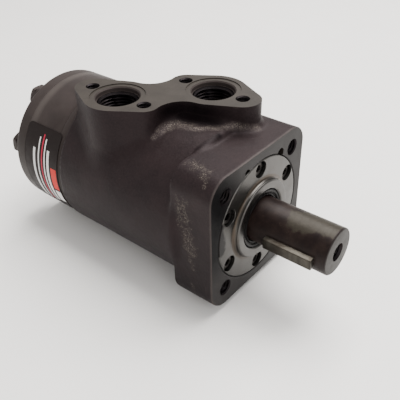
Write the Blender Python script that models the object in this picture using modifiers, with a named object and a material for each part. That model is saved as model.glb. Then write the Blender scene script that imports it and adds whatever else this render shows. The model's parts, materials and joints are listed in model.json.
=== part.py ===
"""Orbital (gerotor) hydraulic motor with a keyed shaft and a square four-bolt flange.

Metres, +Z up. The shaft runs along +X and the port face looks along +Z.
Stations along the shaft are measured from the flange's front face, which is x = 0
in the motor's own coordinates; everything hangs on one empty on the shaft's axis.
Angles around the shaft start at +Y and grow towards +Z.
"""
import math

import bmesh
import bpy
from mathutils import Matrix
from mathutils import Vector

# Overall
SHAFT_REACH = 0.0465
REAR_REACH = 0.1578
BARREL_RADIUS = 0.044
FLANGE_X = (REAR_REACH - SHAFT_REACH) / 2
AXIS_HEIGHT = BARREL_RADIUS
GAP = 0.0003
SEAL_GAP = 0.0001

# Housing casting
HOUSING_LENGTH = 0.110
FLANGE_SIDE = 0.081
FLANGE_CORNER = 0.012
FLANGE_DEPTH = 0.026
FLANGE_HOLE_RADIUS = 0.0045
FLANGE_HOLE_DEPTH = 0.020
FLANGE_BOLT_CIRCLE = 0.08255

# Two notches for prying the cover out: angle round the shaft and radius
PRY_NOTCHES = ((60, 0.0027), (109, 0.0019))
PRY_NOTCH_OUT = 0.00085

# Port boss: two oval lobes with hollow waists between them, point-symmetric about its middle
PORT_FACE_HEIGHT = 0.0545
PORT_MIDDLE_X = -0.06235
PORT_HALF_SPREAD_X = 0.01815
PORT_OFFSET_Y = 0.018
PORT_WALL_RADIUS = 0.0185
PORT_SEAT_RADIUS = 0.0119
PORT_SEAT_DEPTH = 0.0025
PORT_THREAD_RADIUS = 0.0105
PORT_DEPTH = 0.018
PORT_SPOTFACE_RADIUS = 0.01505
PORT_SPOTFACE_DEPTH = 0.0006
PORT_BOLT_SPREAD = 0.0194
PORT_BOLT_WALL = 0.0100
PORT_INNER_WALL = 0.0080
PORT_WAIST_RADIUS = 0.0140
PORT_BOLT_RADIUS = 0.0034
PORT_BOLT_DEPTH = 0.016
PORT_BOSS_FOOT = 0.022
PORT_ARC_STEP = 12.0

# Front cover
COVER_RADIUS = 0.03465
COVER_THICKNESS = 0.012
PILOT_RADIUS = 0.0222
PILOT_HEIGHT = 0.0028
SEAL_BORE_RADIUS = 0.017
SEAL_BORE_DEPTH = 0.0095
COVER_SCREW_COUNT = 6
COVER_SCREW_PITCH_RADIUS = 0.0297
COVER_SCREW_START = 30.0
SCREW_RECESS_RADIUS = 0.0045
SCREW_RECESS_DEPTH = 0.0071
SCREW_HEAD_RADIUS = 0.0041
SCREW_HEAD_HEIGHT = 0.005
SCREW_SHANK_RADIUS = 0.0025
SCREW_END = -0.022
SOCKET_CORNER_RADIUS = 0.0023
SOCKET_DEPTH = 0.0026

# Output shaft with its spool valve
SHAFT_RADIUS = 0.0127
JOURNAL_RADIUS = 0.014
JOURNAL_FRONT = -0.0022
SPOOL_RADIUS = 0.019
SPOOL_FRONT = -0.0185
SPOOL_REAR = -0.104
SPOOL_GROOVE_DEPTH = 0.0026
SPOOL_GROOVE_HALF = 0.006
SPOOL_SLOT_WIDTH = 0.004
SPOOL_CLEARANCE = GAP
TIMING_X = PORT_MIDDLE_X
SHAFT_TAP_RADIUS = 0.0040
SHAFT_TAP_MOUTH = 0.0048
SHAFT_TAP_DEPTH = 0.021
SPLINE_SEAT_FRONT = -0.060
SPLINE_SEAT_REAR = -0.076

# Key: 6.35 mm square, pointing towards -Y and a little below level
KEY_WIDTH = 0.00635
KEY_TOP = 0.0155
KEY_REAR = 0.0126
KEY_FRONT = 0.0404
KEYWAY_RUN_OUT = 0.0022
KEY_ANGLE = 186.5

# Thrust bearing behind the cover
RACE_THICKNESS = 0.0015
RACE_INNER = 0.0145
RACE_OUTER = 0.0240
NEEDLE_DIAMETER = 0.0019

# Gear set
ORBIT = 0.0026
ROTOR_LOBES = 6
RING_TEETH = ROTOR_LOBES + 1
TOOTH_CIRCLE = 0.0275
TOOTH_RADIUS = 0.008
RING_ROOT = 0.0252
REAR_RADIUS = 0.043
PLATE_THICKNESS = 0.0047
RING_WIDTH = 0.0277
COVER_REAR_THICKNESS = 0.0086
FIRST_TOOTH_ANGLE = -90.0
FEED_RADIUS = 0.0022
FEED_PITCH_RADIUS = 0.0235

# Drive link between spool and rotor
SPLINE_TEETH = 12
SEAT_TIP = 0.0126
SEAT_ROOT = 0.0108
LINK_TIP = 0.0118
LINK_ROOT = 0.0099
LINK_NECK = 0.0075
LINK_FRONT_CENTRE = -0.0685
LINK_REAR_CENTRE = -0.1245
LINK_SPLINE_HALF = 0.0062
SPACER_RADIUS = 0.0098

# O-rings between the rear sections
BODY_SEAL_RADIUS = 0.0281
BODY_SEAL_SECTION = 0.0015
BODY_SEAL_GROOVE = 0.0014

# Rear bolts
BOLT_PITCH_RADIUS = 0.035
BOLT_RADIUS = 0.0039
BOLT_HOLE_RADIUS = 0.0042
BOLT_HEAD_CORNER = 0.0074
BOLT_HEAD_HEIGHT = 0.0039
BOLT_TIP = -0.0965
WASHER_RADIUS = 0.0072
WASHER_THICKNESS = 0.0014

# Drain port on the side away from the key
DRAIN_X = -0.060
DRAIN_FLAT_Y = 0.039
DRAIN_FLAT_RADIUS = 0.0105
DRAIN_HOLE_RADIUS = 0.0066
DRAIN_HOLE_DEPTH = 0.011

# Label on the near side of the gear set
LABEL_START = 141.0
LABEL_END = 215.0
LABEL_THICKNESS = 0.0003

# Segments round a circle
FINE = 40
MEDIUM = 20
SMALL = 10

# Where turned bodies and cutters start, in degrees, so that no two share an edge's plane
BODY_SEAM = 2.0
CUTTER_SEAM = 4.3
ROD_SEAM = 7.0

# Stations that follow from the dimensions above
PLATE_FRONT = -HOUSING_LENGTH - GAP
PLATE_REAR = PLATE_FRONT - PLATE_THICKNESS
RING_FRONT = PLATE_REAR - GAP
RING_REAR = RING_FRONT - RING_WIDTH
REAR_COVER_FRONT = RING_REAR - GAP
REAR_COVER_REAR = REAR_COVER_FRONT - COVER_REAR_THICKNESS
PORT_A = (PORT_MIDDLE_X - PORT_HALF_SPREAD_X, -PORT_OFFSET_Y)
PORT_B = (PORT_MIDDLE_X + PORT_HALF_SPREAD_X, PORT_OFFSET_Y)

OLIVE_BLACK = (0.060, 0.052, 0.048, 1.0)
BRIGHT_STEEL = (0.62, 0.62, 0.61, 1.0)
DARK_STEEL = (0.10, 0.095, 0.090, 1.0)
OILY_STEEL = (0.22, 0.20, 0.18, 1.0)
KEY_STEEL = (0.45, 0.43, 0.38, 1.0)
RUBBER_BLACK = (0.015, 0.015, 0.015, 1.0)
BRONZE = (0.55, 0.36, 0.16, 1.0)
LABEL_BLACK = (0.02, 0.02, 0.02, 1.0)


# ---------------------------------------------------------------- scene helpers
def clear_scene():
    for old in list(bpy.data.objects):
        bpy.data.objects.remove(old, do_unlink=True)
    for old in list(bpy.data.collections):
        bpy.data.collections.remove(old)


def new_collection(name):
    collection = bpy.data.collections.new(name)
    bpy.context.scene.collection.children.link(collection)
    return collection


def shaft_axis_empty():
    empty = bpy.data.objects.new("shaft_axis", None)
    empty.location = (FLANGE_X, 0.0, AXIS_HEIGHT)
    PARTS.objects.link(empty)
    return empty


def material(name, colour, roughness, metallic):
    made = bpy.data.materials.get(name)
    if made:
        return made
    made = bpy.data.materials.new(name)
    made.use_nodes = True
    shader = made.node_tree.nodes["Principled BSDF"]
    shader.inputs["Base Color"].default_value = colour
    shader.inputs["Roughness"].default_value = roughness
    shader.inputs["Metallic"].default_value = metallic
    return made


def place(obj, collection):
    collection.objects.link(obj)
    obj.parent = AXIS
    return obj


def part(name, mesh, look):
    """One sub-part: its own object with its own material."""
    obj = place(bpy.data.objects.new(name, mesh), PARTS)
    colour, roughness, metallic = look
    if not mesh.materials:
        mesh.materials.append(material(name, colour, roughness, metallic))
    return obj


def cutter(name, mesh):
    obj = place(bpy.data.objects.new(name, mesh), CUTTERS)
    obj.hide_render = True
    obj.display_type = "WIRE"
    return obj


def smooth(mesh):
    mesh.shade_smooth()
    mesh.set_sharp_from_angle(angle=math.radians(35))
    return mesh


def boolean(obj, other, operation):
    modifier = obj.modifiers.new(other.name, "BOOLEAN")
    modifier.operation = operation
    modifier.solver = "EXACT"
    modifier.object = other
    return obj


def cut(obj, other):
    return boolean(obj, other, "DIFFERENCE")


def join(obj, other):
    return boolean(obj, other, "UNION")


def baked(obj):
    """The object's mesh with its modifiers applied, for copies to share."""
    graph = bpy.context.evaluated_depsgraph_get()
    mesh = bpy.data.meshes.new_from_object(obj.evaluated_get(graph))
    bpy.data.objects.remove(obj, do_unlink=True)
    return smooth(mesh)


# ---------------------------------------------------------------- shape helpers
def around(radius, degrees):
    angle = math.radians(degrees)
    return radius * math.cos(angle), radius * math.sin(angle)


def turned(name, profile, look, closed=True, segments=FINE):
    """A body turned about the shaft's axis from (station, radius) points.

    The points run along the outer side from front to rear, then back inside.
    """
    mesh = bpy.data.meshes.new(name)
    seam_x, seam_y = around(1.0, BODY_SEAM if look else CUTTER_SEAM)
    points = [(radius * seam_x, radius * seam_y, station) for station, radius in profile]
    edges = [(i, i + 1) for i in range(len(points) - 1)]
    if closed:
        edges.append((len(points) - 1, 0))
    mesh.from_pydata(points, edges, [])
    obj = part(name, mesh, look) if look else cutter(name, mesh)
    obj.rotation_euler = (0.0, math.radians(90), 0.0)
    screw = obj.modifiers.new("turn", "SCREW")
    screw.axis = "Z"
    screw.steps = segments
    screw.render_steps = segments
    screw.use_merge_vertices = True
    screw.merge_threshold = 0.00001
    screw.use_smooth_shade = True
    return obj


def prism_mesh(name, outline, low, high, axis="X"):
    """A flat outline pushed from low to high: (y, z) points along X, or (x, y) along Z."""
    mesh = bpy.data.meshes.new(name)
    shape = bmesh.new()
    if axis == "X":
        corners = [shape.verts.new((low, a, b)) for a, b in outline]
        push = (high - low, 0.0, 0.0)
    else:
        corners = [shape.verts.new((a, b, low)) for a, b in outline]
        push = (0.0, 0.0, high - low)
    face = shape.faces.new(corners)
    grown = bmesh.ops.extrude_face_region(shape, geom=[face])
    moved = [item for item in grown["geom"] if isinstance(item, bmesh.types.BMVert)]
    bmesh.ops.translate(shape, verts=moved, vec=push)
    bmesh.ops.recalc_face_normals(shape, faces=shape.faces)
    shape.to_mesh(mesh)
    shape.free()
    return mesh


def rod_mesh(name, start, end, radius, segments=SMALL, end_radius=None):
    """A round bar, or a cone with end_radius, between two points."""
    start = Vector(start)
    end = Vector(end)
    mesh = bpy.data.meshes.new(name)
    shape = bmesh.new()
    turn = (end - start).to_track_quat("Z", "Y").to_matrix().to_4x4()
    turn = turn @ Matrix.Rotation(math.radians(ROD_SEAM), 4, "Z")
    bmesh.ops.create_cone(
        shape,
        cap_ends=True,
        segments=segments,
        radius1=radius,
        radius2=radius if end_radius is None else end_radius,
        depth=(end - start).length,
        matrix=Matrix.Translation((start + end) / 2) @ turn,
    )
    shape.to_mesh(mesh)
    shape.free()
    return mesh


def drill(obj, name, start, end, radius, segments=SMALL, end_radius=None):
    return cut(obj, cutter(name, rod_mesh(name, start, end, radius, segments, end_radius)))


def drill_along_shaft(obj, name, front, rear, pitch_radius, degrees, radius):
    y, z = around(pitch_radius, degrees)
    return drill(obj, name, (front, y, z), (rear, y, z), radius)


def rounded_square(side, corner, steps=6):
    half = side / 2 - corner
    outline = []
    for quarter, (sign_y, sign_z) in enumerate(((1, 1), (-1, 1), (-1, -1), (1, -1))):
        for step in range(steps + 1):
            y, z = around(corner, 90 * quarter + 90 * step / steps)
            outline.append((sign_y * half + y, sign_z * half + z))
    return outline


def boss_arcs():
    """The near half of the port boss's outline as tangent arcs: centre, radius, first, last."""
    end_lean = math.degrees(math.acos((PORT_WALL_RADIUS - PORT_BOLT_WALL) / PORT_BOLT_SPREAD))
    inner_lean = math.degrees(math.acos((PORT_WALL_RADIUS - PORT_INNER_WALL) / PORT_BOLT_SPREAD))
    inner = (PORT_A[0] + PORT_BOLT_SPREAD, PORT_A[1])
    run_x = PORT_B[0] - inner[0]
    run_y = PORT_B[1] - inner[1]
    run = math.hypot(run_x, run_y)
    from_inner = PORT_INNER_WALL + PORT_WAIST_RADIUS
    from_wall = PORT_WALL_RADIUS + PORT_WAIST_RADIUS
    along = (run**2 + from_inner**2 - from_wall**2) / (2 * run)
    out = math.sqrt(from_inner**2 - along**2)
    waist = (inner[0] + (along * run_x + out * run_y) / run,
             inner[1] + (along * run_y - out * run_x) / run)
    to_inner = math.degrees(math.atan2(inner[1] - waist[1], inner[0] - waist[0])) % 360
    to_wall = math.degrees(math.atan2(PORT_B[1] - waist[1], PORT_B[0] - waist[0])) % 360
    return (
        (PORT_A, PORT_WALL_RADIUS, 180 + end_lean, 360 - inner_lean),
        (inner, PORT_INNER_WALL, 360 - inner_lean, 180 + to_inner),
        (waist, PORT_WAIST_RADIUS, to_inner, to_wall),
        (PORT_B, PORT_WALL_RADIUS, 180 + to_wall, 360 - end_lean),
        ((PORT_B[0] + PORT_BOLT_SPREAD, PORT_B[1]), PORT_BOLT_WALL, -end_lean, end_lean),
    )


def boss_outline():
    """Both halves of the boss's outline, the far one the near one turned half round."""
    near = []
    for centre, radius, first, last in boss_arcs():
        steps = max(2, round(abs(last - first) / PORT_ARC_STEP))
        for step in range(steps + 1):
            x, y = around(radius, first + (last - first) * step / steps)
            near.append((centre[0] + x, centre[1] + y))
    far = [(2 * PORT_MIDDLE_X - x, -y) for x, y in near]
    return drop_repeats(near + far)


def drop_repeats(outline):
    """The outline without points that fall on the one before."""
    return [point for index, point in enumerate(outline)
            if math.dist(point, outline[index - 1]) > SEAL_GAP]


def spline_outline(tip, root, tip_half_angle, root_half_angle):
    outline = []
    for tooth in range(SPLINE_TEETH):
        middle = 360 * tooth / SPLINE_TEETH
        outline.append(around(root, middle - root_half_angle))
        outline.append(around(tip, middle - tip_half_angle))
        outline.append(around(tip, middle + tip_half_angle))
        outline.append(around(root, middle + root_half_angle))
    return outline


def spline_seat_cutter(name, front, rear):
    outline = spline_outline(SEAT_TIP, SEAT_ROOT, 7.5, 9.2)
    return cutter(name, prism_mesh(name, outline, rear, front))


def ring_seal(name, station, radius, thickness, look, segments=FINE):
    """An O-ring round the shaft's axis."""
    mesh = bpy.data.meshes.new(name)
    obj = part(name, mesh, look)
    points = []
    sides = 5
    for step in range(sides):
        along, out = around(thickness / 2, 360 * step / sides)
        points.append((radius + out, 0.0, station + along))
    edges = [(i, (i + 1) % sides) for i in range(sides)]
    mesh.from_pydata(points, edges, [])
    obj.rotation_euler = (0.0, math.radians(90), 0.0)
    screw = obj.modifiers.new("turn", "SCREW")
    screw.steps = segments
    screw.render_steps = segments
    screw.use_merge_vertices = True
    screw.merge_threshold = 0.00001
    screw.use_smooth_shade = True
    return obj


# ---------------------------------------------------------------- housing
def housing():
    chamfer = 0.0010
    profile = [
        (-0.001, 0.0),
        (-0.001, BARREL_RADIUS - 0.0075),
        (-FLANGE_DEPTH + 0.004, BARREL_RADIUS - 0.0040),
        (-FLANGE_DEPTH - 0.001, BARREL_RADIUS),
        (-HOUSING_LENGTH + chamfer, BARREL_RADIUS),
        (-HOUSING_LENGTH, BARREL_RADIUS - chamfer),
        (-HOUSING_LENGTH, 0.0),
    ]
    body = turned("housing", profile, (OLIVE_BLACK, 0.55, 0.1), closed=False)
    outline = rounded_square(FLANGE_SIDE, FLANGE_CORNER)
    block = cutter("flange_block", prism_mesh("flange_block", outline, -FLANGE_DEPTH, 0.0))
    join(body, block)
    boss = prism_mesh("port_boss", boss_outline(), PORT_BOSS_FOOT, PORT_FACE_HEIGHT, axis="Z")
    join(body, cutter("port_boss", boss))
    bore_housing(body)
    drill_flange(body)
    for name, centre in (("port_a", PORT_A), ("port_b", PORT_B)):
        drill_port(body, name, centre)
    drill_feeds(body)
    drill_rear_bolts(body, -HOUSING_LENGTH, BOLT_TIP + 0.001)
    groove = groove_profile(-HOUSING_LENGTH, 1)
    groove[0] = (groove[0][0] - 0.001, groove[0][1])
    groove[3] = (groove[3][0] - 0.001, groove[3][1])
    cut(body, turned("housing_seal_groove", groove[::-1], None))
    drill_drain(body)
    return body


def bore_housing(body):
    """The stepped bore: cover seat, thrust bearing chamber and valve bore."""
    seat = COVER_RADIUS + GAP
    floor = -COVER_THICKNESS - GAP
    past = 0.002
    profile = [
        (past, 0.0),
        (past, seat),
        (floor, seat),
        (floor, RACE_OUTER + 0.0005),
        (SPOOL_FRONT + GAP, RACE_OUTER + 0.0005),
        (SPOOL_FRONT + GAP, SPOOL_RADIUS + SPOOL_CLEARANCE),
        (-HOUSING_LENGTH - past, SPOOL_RADIUS + SPOOL_CLEARANCE),
        (-HOUSING_LENGTH - past, 0.0),
    ]
    cut(body, turned("stepped_bore", profile, None, closed=False))
    for index, (degrees, radius) in enumerate(PRY_NOTCHES):
        y, z = around(COVER_RADIUS + PRY_NOTCH_OUT, degrees)
        drill(body, "pry_notch_%d" % (index + 1), (past, y, z), (-0.003, y, z), radius, 12)
    for degrees in screw_angles():
        name = "screw_hole_%d" % round(degrees % 360)
        drill_along_shaft(
            body, name, floor + past, SCREW_END - 0.001, COVER_SCREW_PITCH_RADIUS, degrees,
            SCREW_SHANK_RADIUS + GAP,
        )


def drill_flange(body):
    reach = FLANGE_BOLT_CIRCLE / 2
    for degrees in (45, 135, 225, 315):
        drill_along_shaft(
            body, "flange_hole_%d" % degrees, 0.002, -FLANGE_HOLE_DEPTH, reach, degrees,
            FLANGE_HOLE_RADIUS,
        )


def drill_port(body, name, centre):
    """One threaded port with its spot face, seat, passage to the valve and two bolt holes."""
    x, y = centre
    top = PORT_FACE_HEIGHT
    past = 0.002
    floor = top - PORT_DEPTH
    drill(body, name + "_spotface", (x, y, top + past), (x, y, top - PORT_SPOTFACE_DEPTH),
          PORT_SPOTFACE_RADIUS, MEDIUM)
    drill(body, name + "_seat", (x, y, top + past), (x, y, top - PORT_SEAT_DEPTH),
          PORT_SEAT_RADIUS, MEDIUM)
    drill(body, name + "_thread", (x, y, top), (x, y, floor), PORT_THREAD_RADIUS, MEDIUM)
    side = math.copysign(1.0, y)
    drill(body, name + "_passage", (x, y - side * 0.0005, floor + past),
          (x, side * 0.0070, 0.0155), 0.0045)
    for sign in (-1, 1):
        bolt_x = x + sign * PORT_BOLT_SPREAD
        drill(body, "%s_bolt_%d" % (name, sign + 2), (bolt_x, y, top + past),
              (bolt_x, y, top - PORT_BOLT_DEPTH), PORT_BOLT_RADIUS)


def drill_feeds(body):
    """The seven passages from the valve's timing holes back to the gear set."""
    for index in range(RING_TEETH):
        degrees = pocket_angle(index)
        y, z = around(FEED_PITCH_RADIUS, degrees)
        drill(body, "feed_%d" % index, (TIMING_X + FEED_RADIUS, y, z),
              (-HOUSING_LENGTH - 0.001, y, z), FEED_RADIUS, 8)
        inner_y, inner_z = around(SPOOL_RADIUS - 0.001, degrees)
        drill(body, "timing_%d" % index, (TIMING_X, y, z), (TIMING_X, inner_y, inner_z),
              FEED_RADIUS * 0.8, 8)


def drill_rear_bolts(body, front, rear):
    """The rear bolts' holes, from a little behind this piece to the given front end."""
    for index in range(RING_TEETH):
        drill_along_shaft(
            body, "%s_bolt_hole_%d" % (body.name, index + 1), rear, front - 0.001,
            BOLT_PITCH_RADIUS, tooth_angle(index), BOLT_HOLE_RADIUS,
        )


def drill_drain(body):
    floor = DRAIN_FLAT_Y - DRAIN_HOLE_DEPTH
    drill(body, "drain_flat", (DRAIN_X, BARREL_RADIUS + 0.002, 0.0), (DRAIN_X, DRAIN_FLAT_Y, 0.0),
          DRAIN_FLAT_RADIUS, MEDIUM)
    drill(body, "drain_hole", (DRAIN_X, BARREL_RADIUS, 0.0), (DRAIN_X, floor, 0.0),
          DRAIN_HOLE_RADIUS, MEDIUM)
    drill(body, "drain_passage", (DRAIN_X, floor + 0.001, 0.0),
          (DRAIN_X, SPOOL_RADIUS - 0.001, 0.0), 0.0015, 8)


def screw_angles():
    step = 360 / COVER_SCREW_COUNT
    return [COVER_SCREW_START + step * index for index in range(COVER_SCREW_COUNT)]


def tooth_angle(index):
    return FIRST_TOOTH_ANGLE + 360 * index / RING_TEETH


def pocket_angle(index):
    return tooth_angle(index + 0.5)


# ---------------------------------------------------------------- front end
def front_cover():
    edge = 0.0005
    groove_front = -0.0086
    groove_rear = -0.0106
    groove_floor = COVER_RADIUS - 0.0015
    profile = [
        (PILOT_HEIGHT, PILOT_RADIUS - edge),
        (PILOT_HEIGHT - edge, PILOT_RADIUS),
        (0.0009, PILOT_RADIUS),
        (0.0, PILOT_RADIUS + 0.0009),
        (0.0, COVER_RADIUS - edge),
        (-edge, COVER_RADIUS),
        (groove_front, COVER_RADIUS),
        (groove_front, groove_floor),
        (groove_rear, groove_floor),
        (groove_rear, COVER_RADIUS),
        (-COVER_THICKNESS, COVER_RADIUS),
        (-COVER_THICKNESS, JOURNAL_RADIUS + 0.0006),
        (-SEAL_BORE_DEPTH, JOURNAL_RADIUS + 0.0006),
        (-SEAL_BORE_DEPTH, SEAL_BORE_RADIUS),
        (PILOT_HEIGHT - edge, SEAL_BORE_RADIUS),
        (PILOT_HEIGHT, SEAL_BORE_RADIUS + edge),
    ]
    cover = turned("front_cover", profile, (BRIGHT_STEEL, 0.3, 1.0))
    for index, degrees in enumerate(screw_angles()):
        drill_along_shaft(cover, "screw_recess_%d" % index, 0.002, -SCREW_RECESS_DEPTH,
                          COVER_SCREW_PITCH_RADIUS, degrees, SCREW_RECESS_RADIUS)
        drill_along_shaft(cover, "screw_clearance_%d" % index, -0.001, -COVER_THICKNESS - 0.001,
                          COVER_SCREW_PITCH_RADIUS, degrees, SCREW_SHANK_RADIUS + GAP)
    middle = (groove_front + groove_rear) / 2
    thickness = COVER_RADIUS + GAP - groove_floor - 2 * SEAL_GAP
    ring_seal("cover_o_ring", middle, groove_floor + SEAL_GAP + thickness / 2, thickness,
              (RUBBER_BLACK, 0.5, 0.0))
    return cover


def cover_screws():
    """Socket-head cap screws, sunk in the cover's recesses."""
    head_rear = -SCREW_RECESS_DEPTH + GAP
    head_front = head_rear + SCREW_HEAD_HEIGHT
    edge = 0.0003
    profile = [
        (head_front, 0.0),
        (head_front, SCREW_HEAD_RADIUS - edge),
        (head_front - edge, SCREW_HEAD_RADIUS),
        (head_rear, SCREW_HEAD_RADIUS),
        (head_rear, SCREW_SHANK_RADIUS),
        (SCREW_END, SCREW_SHANK_RADIUS),
        (SCREW_END, 0.0),
    ]
    blank = turned("cover_screw_blank", profile, None, closed=False, segments=SMALL)
    socket = rod_mesh("screw_socket", (0.0, 0.0, head_front - SOCKET_DEPTH),
                      (0.0, 0.0, head_front + 0.001), SOCKET_CORNER_RADIUS, 6)
    socket_cutter = cutter("screw_socket", socket)
    socket_cutter.rotation_euler = (0.0, math.radians(90), 0.0)
    cut(blank, socket_cutter)
    mesh = baked(blank)
    for index, degrees in enumerate(screw_angles()):
        screw = part("cover_screw_%d" % (index + 1), mesh, (DARK_STEEL, 0.4, 0.9))
        y, z = around(COVER_SCREW_PITCH_RADIUS, degrees)
        screw.location = (0.0, y, z)
        screw.rotation_euler = (0.0, math.radians(90), 0.0)


def shaft_seals():
    outer = SEAL_BORE_RADIUS - GAP
    wiper = [
        (0.0010, SHAFT_RADIUS + GAP),
        (0.0021, SHAFT_RADIUS + 0.0016),
        (0.0021, outer),
        (-0.0016, outer),
        (-0.0016, SHAFT_RADIUS + 0.0012),
        (0.0, SHAFT_RADIUS + GAP),
    ]
    turned("dust_seal", wiper, (RUBBER_BLACK, 0.3, 0.0), segments=MEDIUM)
    seal = [
        (-0.0030, JOURNAL_RADIUS + GAP),
        (-0.0030, outer),
        (-SEAL_BORE_DEPTH + GAP, outer),
        (-SEAL_BORE_DEPTH + GAP, JOURNAL_RADIUS + 0.0008),
        (-0.0060, JOURNAL_RADIUS + GAP),
    ]
    turned("shaft_seal", seal, (RUBBER_BLACK, 0.4, 0.0), segments=MEDIUM)


def washer_profile(front, thickness, inner, outer):
    rear = front - thickness
    return [(front, inner), (front, outer), (rear, outer), (rear, inner)]


def thrust_bearing():
    """Two hardened races and the needle cage between them."""
    front = -COVER_THICKNESS - GAP
    steel = (BRIGHT_STEEL, 0.2, 1.0)
    turned("thrust_race_front", washer_profile(front, RACE_THICKNESS, RACE_INNER, RACE_OUTER),
           steel, segments=MEDIUM)
    cage_front = front - RACE_THICKNESS - GAP
    cage = turned("needle_cage", washer_profile(cage_front, NEEDLE_DIAMETER, 0.0152, 0.0232),
                  (BRONZE, 0.4, 0.8), segments=MEDIUM)
    for index in range(12):
        degrees = 360 * index / 12
        y_low, z_low = around(0.0170, degrees)
        y_high, z_high = around(0.0216, degrees)
        middle = cage_front - NEEDLE_DIAMETER - NEEDLE_DIAMETER * 0.15
        drill(cage, "needle_slot_%d" % index, (middle, y_low, z_low), (middle, y_high, z_high),
              NEEDLE_DIAMETER * 0.5, 6)
    rear_front = cage_front - NEEDLE_DIAMETER - GAP
    turned("thrust_race_rear", washer_profile(rear_front, RACE_THICKNESS, RACE_INNER, RACE_OUTER),
           steel, segments=MEDIUM)


# ---------------------------------------------------------------- shaft
def output_shaft():
    edge = 0.0006
    mouth = SHAFT_REACH - (SHAFT_TAP_MOUTH - SHAFT_TAP_RADIUS)
    tap_floor = SHAFT_REACH - SHAFT_TAP_DEPTH
    neck = SPOOL_RADIUS - SPOOL_GROOVE_DEPTH
    profile = [
        (tap_floor - SHAFT_TAP_RADIUS / 2, 0.0),
        (tap_floor, SHAFT_TAP_RADIUS),
        (mouth, SHAFT_TAP_RADIUS),
        (SHAFT_REACH, SHAFT_TAP_MOUTH),
        (SHAFT_REACH, SHAFT_RADIUS - edge),
        (SHAFT_REACH - edge, SHAFT_RADIUS),
        (JOURNAL_FRONT + 0.0006, SHAFT_RADIUS),
        (JOURNAL_FRONT, JOURNAL_RADIUS),
        (SPOOL_FRONT, JOURNAL_RADIUS),
        (SPOOL_FRONT, SPOOL_RADIUS - edge),
        (SPOOL_FRONT - edge, SPOOL_RADIUS),
    ]
    for centre in (PORT_B[0], PORT_A[0]):
        profile += [
            (centre + SPOOL_GROOVE_HALF, SPOOL_RADIUS),
            (centre + SPOOL_GROOVE_HALF, neck),
            (centre - SPOOL_GROOVE_HALF, neck),
            (centre - SPOOL_GROOVE_HALF, SPOOL_RADIUS),
        ]
    bore = SEAT_ROOT - 0.0002
    relief = SEAT_TIP + 0.0006
    profile += [
        (SPOOL_REAR + edge, SPOOL_RADIUS),
        (SPOOL_REAR, SPOOL_RADIUS - edge),
        (SPOOL_REAR, relief),
        (SPLINE_SEAT_REAR, relief),
        (SPLINE_SEAT_REAR, bore),
        (SPLINE_SEAT_FRONT, bore),
        (SPLINE_SEAT_FRONT + 0.003, 0.0),
    ]
    shaft = turned("output_shaft", profile, (OILY_STEEL, 0.35, 0.9), closed=False)
    cut(shaft, spline_seat_cutter("shaft_spline_seat", SPLINE_SEAT_FRONT, SPLINE_SEAT_REAR - 0.001))
    cut(shaft, key_block("keyway", SEAL_GAP))
    cut_valve_slots(shaft)
    return shaft


def cut_valve_slots(shaft):
    """Six slots from each port groove towards the timing holes, in turn round the spool."""
    count = 2 * ROTOR_LOBES
    for index in range(count):
        groove = PORT_A[0] if index % 2 else PORT_B[0]
        towards = math.copysign(1.0, TIMING_X - groove)
        start = groove + towards * (SPOOL_GROOVE_HALF - 0.001)
        stop = TIMING_X + towards * 0.003
        half = SPOOL_SLOT_WIDTH / 2
        low = SPOOL_RADIUS - SPOOL_GROOVE_DEPTH + 0.0003
        outline = [(low, -half), (0.021, -half), (0.021, half), (low, half)]
        name = "valve_slot_%d" % (index + 1)
        slot = cutter(name, prism_mesh(name, outline, min(start, stop), max(start, stop)))
        slot.rotation_euler = (math.radians(360 * (index + 0.5) / count), 0.0, 0.0)
        cut(shaft, slot)


def key_block(name, extra):
    """The key's block, or with extra its keyway's."""
    half = KEY_WIDTH / 2 + extra
    floor = KEY_TOP - KEY_WIDTH - extra
    outline = [(floor, -half), (KEY_TOP + extra, -half), (KEY_TOP + extra, half), (floor, half)]
    front = KEY_FRONT + KEYWAY_RUN_OUT if extra else KEY_FRONT
    mesh = prism_mesh(name, outline, KEY_REAR - extra, front)
    block = cutter(name, mesh) if extra else part(name, mesh, (KEY_STEEL, 0.4, 0.9))
    block.rotation_euler = (math.radians(KEY_ANGLE), 0.0, 0.0)
    return block


def shaft_key():
    key = key_block("shaft_key", 0.0)
    bevel = key.modifiers.new("edges", "BEVEL")
    bevel.width = 0.0003
    bevel.segments = 1
    return key


# ---------------------------------------------------------------- drive link and gear set
def link_section(station, tip, root):
    outline = spline_outline(tip, root, 4.5, 6.5)
    return [(station, y, z) for y, z in outline]


def drive_link():
    """The dog-bone link: crowned splines at both ends of a plain neck."""
    reach = LINK_FRONT_CENTRE - LINK_REAR_CENTRE
    half = LINK_SPLINE_HALF
    crown = 0.0005
    sections = []
    for centre in (0.0, -reach):
        for share in (1.0, 0.5, -0.5, -1.0):
            drop = crown * share * share
            sections.append(link_section(centre + share * half, LINK_TIP - drop, LINK_ROOT - drop))
        if centre == 0.0:
            sections.append(link_section(-half - 0.004, LINK_NECK, LINK_NECK))
            sections.append(link_section(-reach + half + 0.004, LINK_NECK, LINK_NECK))
    mesh = bpy.data.meshes.new("drive_link")
    shape = bmesh.new()
    rings = [[shape.verts.new(point) for point in section] for section in sections]
    count = len(rings[0])
    for ring, after in zip(rings, rings[1:]):
        for index in range(count):
            following = (index + 1) % count
            shape.faces.new((ring[index], ring[following], after[following], after[index]))
    shape.faces.new(rings[0])
    shape.faces.new(rings[-1])
    bmesh.ops.recalc_face_normals(shape, faces=shape.faces)
    shape.to_mesh(mesh)
    shape.free()
    link = part("drive_link", mesh, (BRIGHT_STEEL, 0.3, 1.0))
    link.location = (LINK_FRONT_CENTRE, 0.0, 0.0)
    link.rotation_euler = (0.0, 0.0, -math.atan2(ORBIT, reach))


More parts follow.
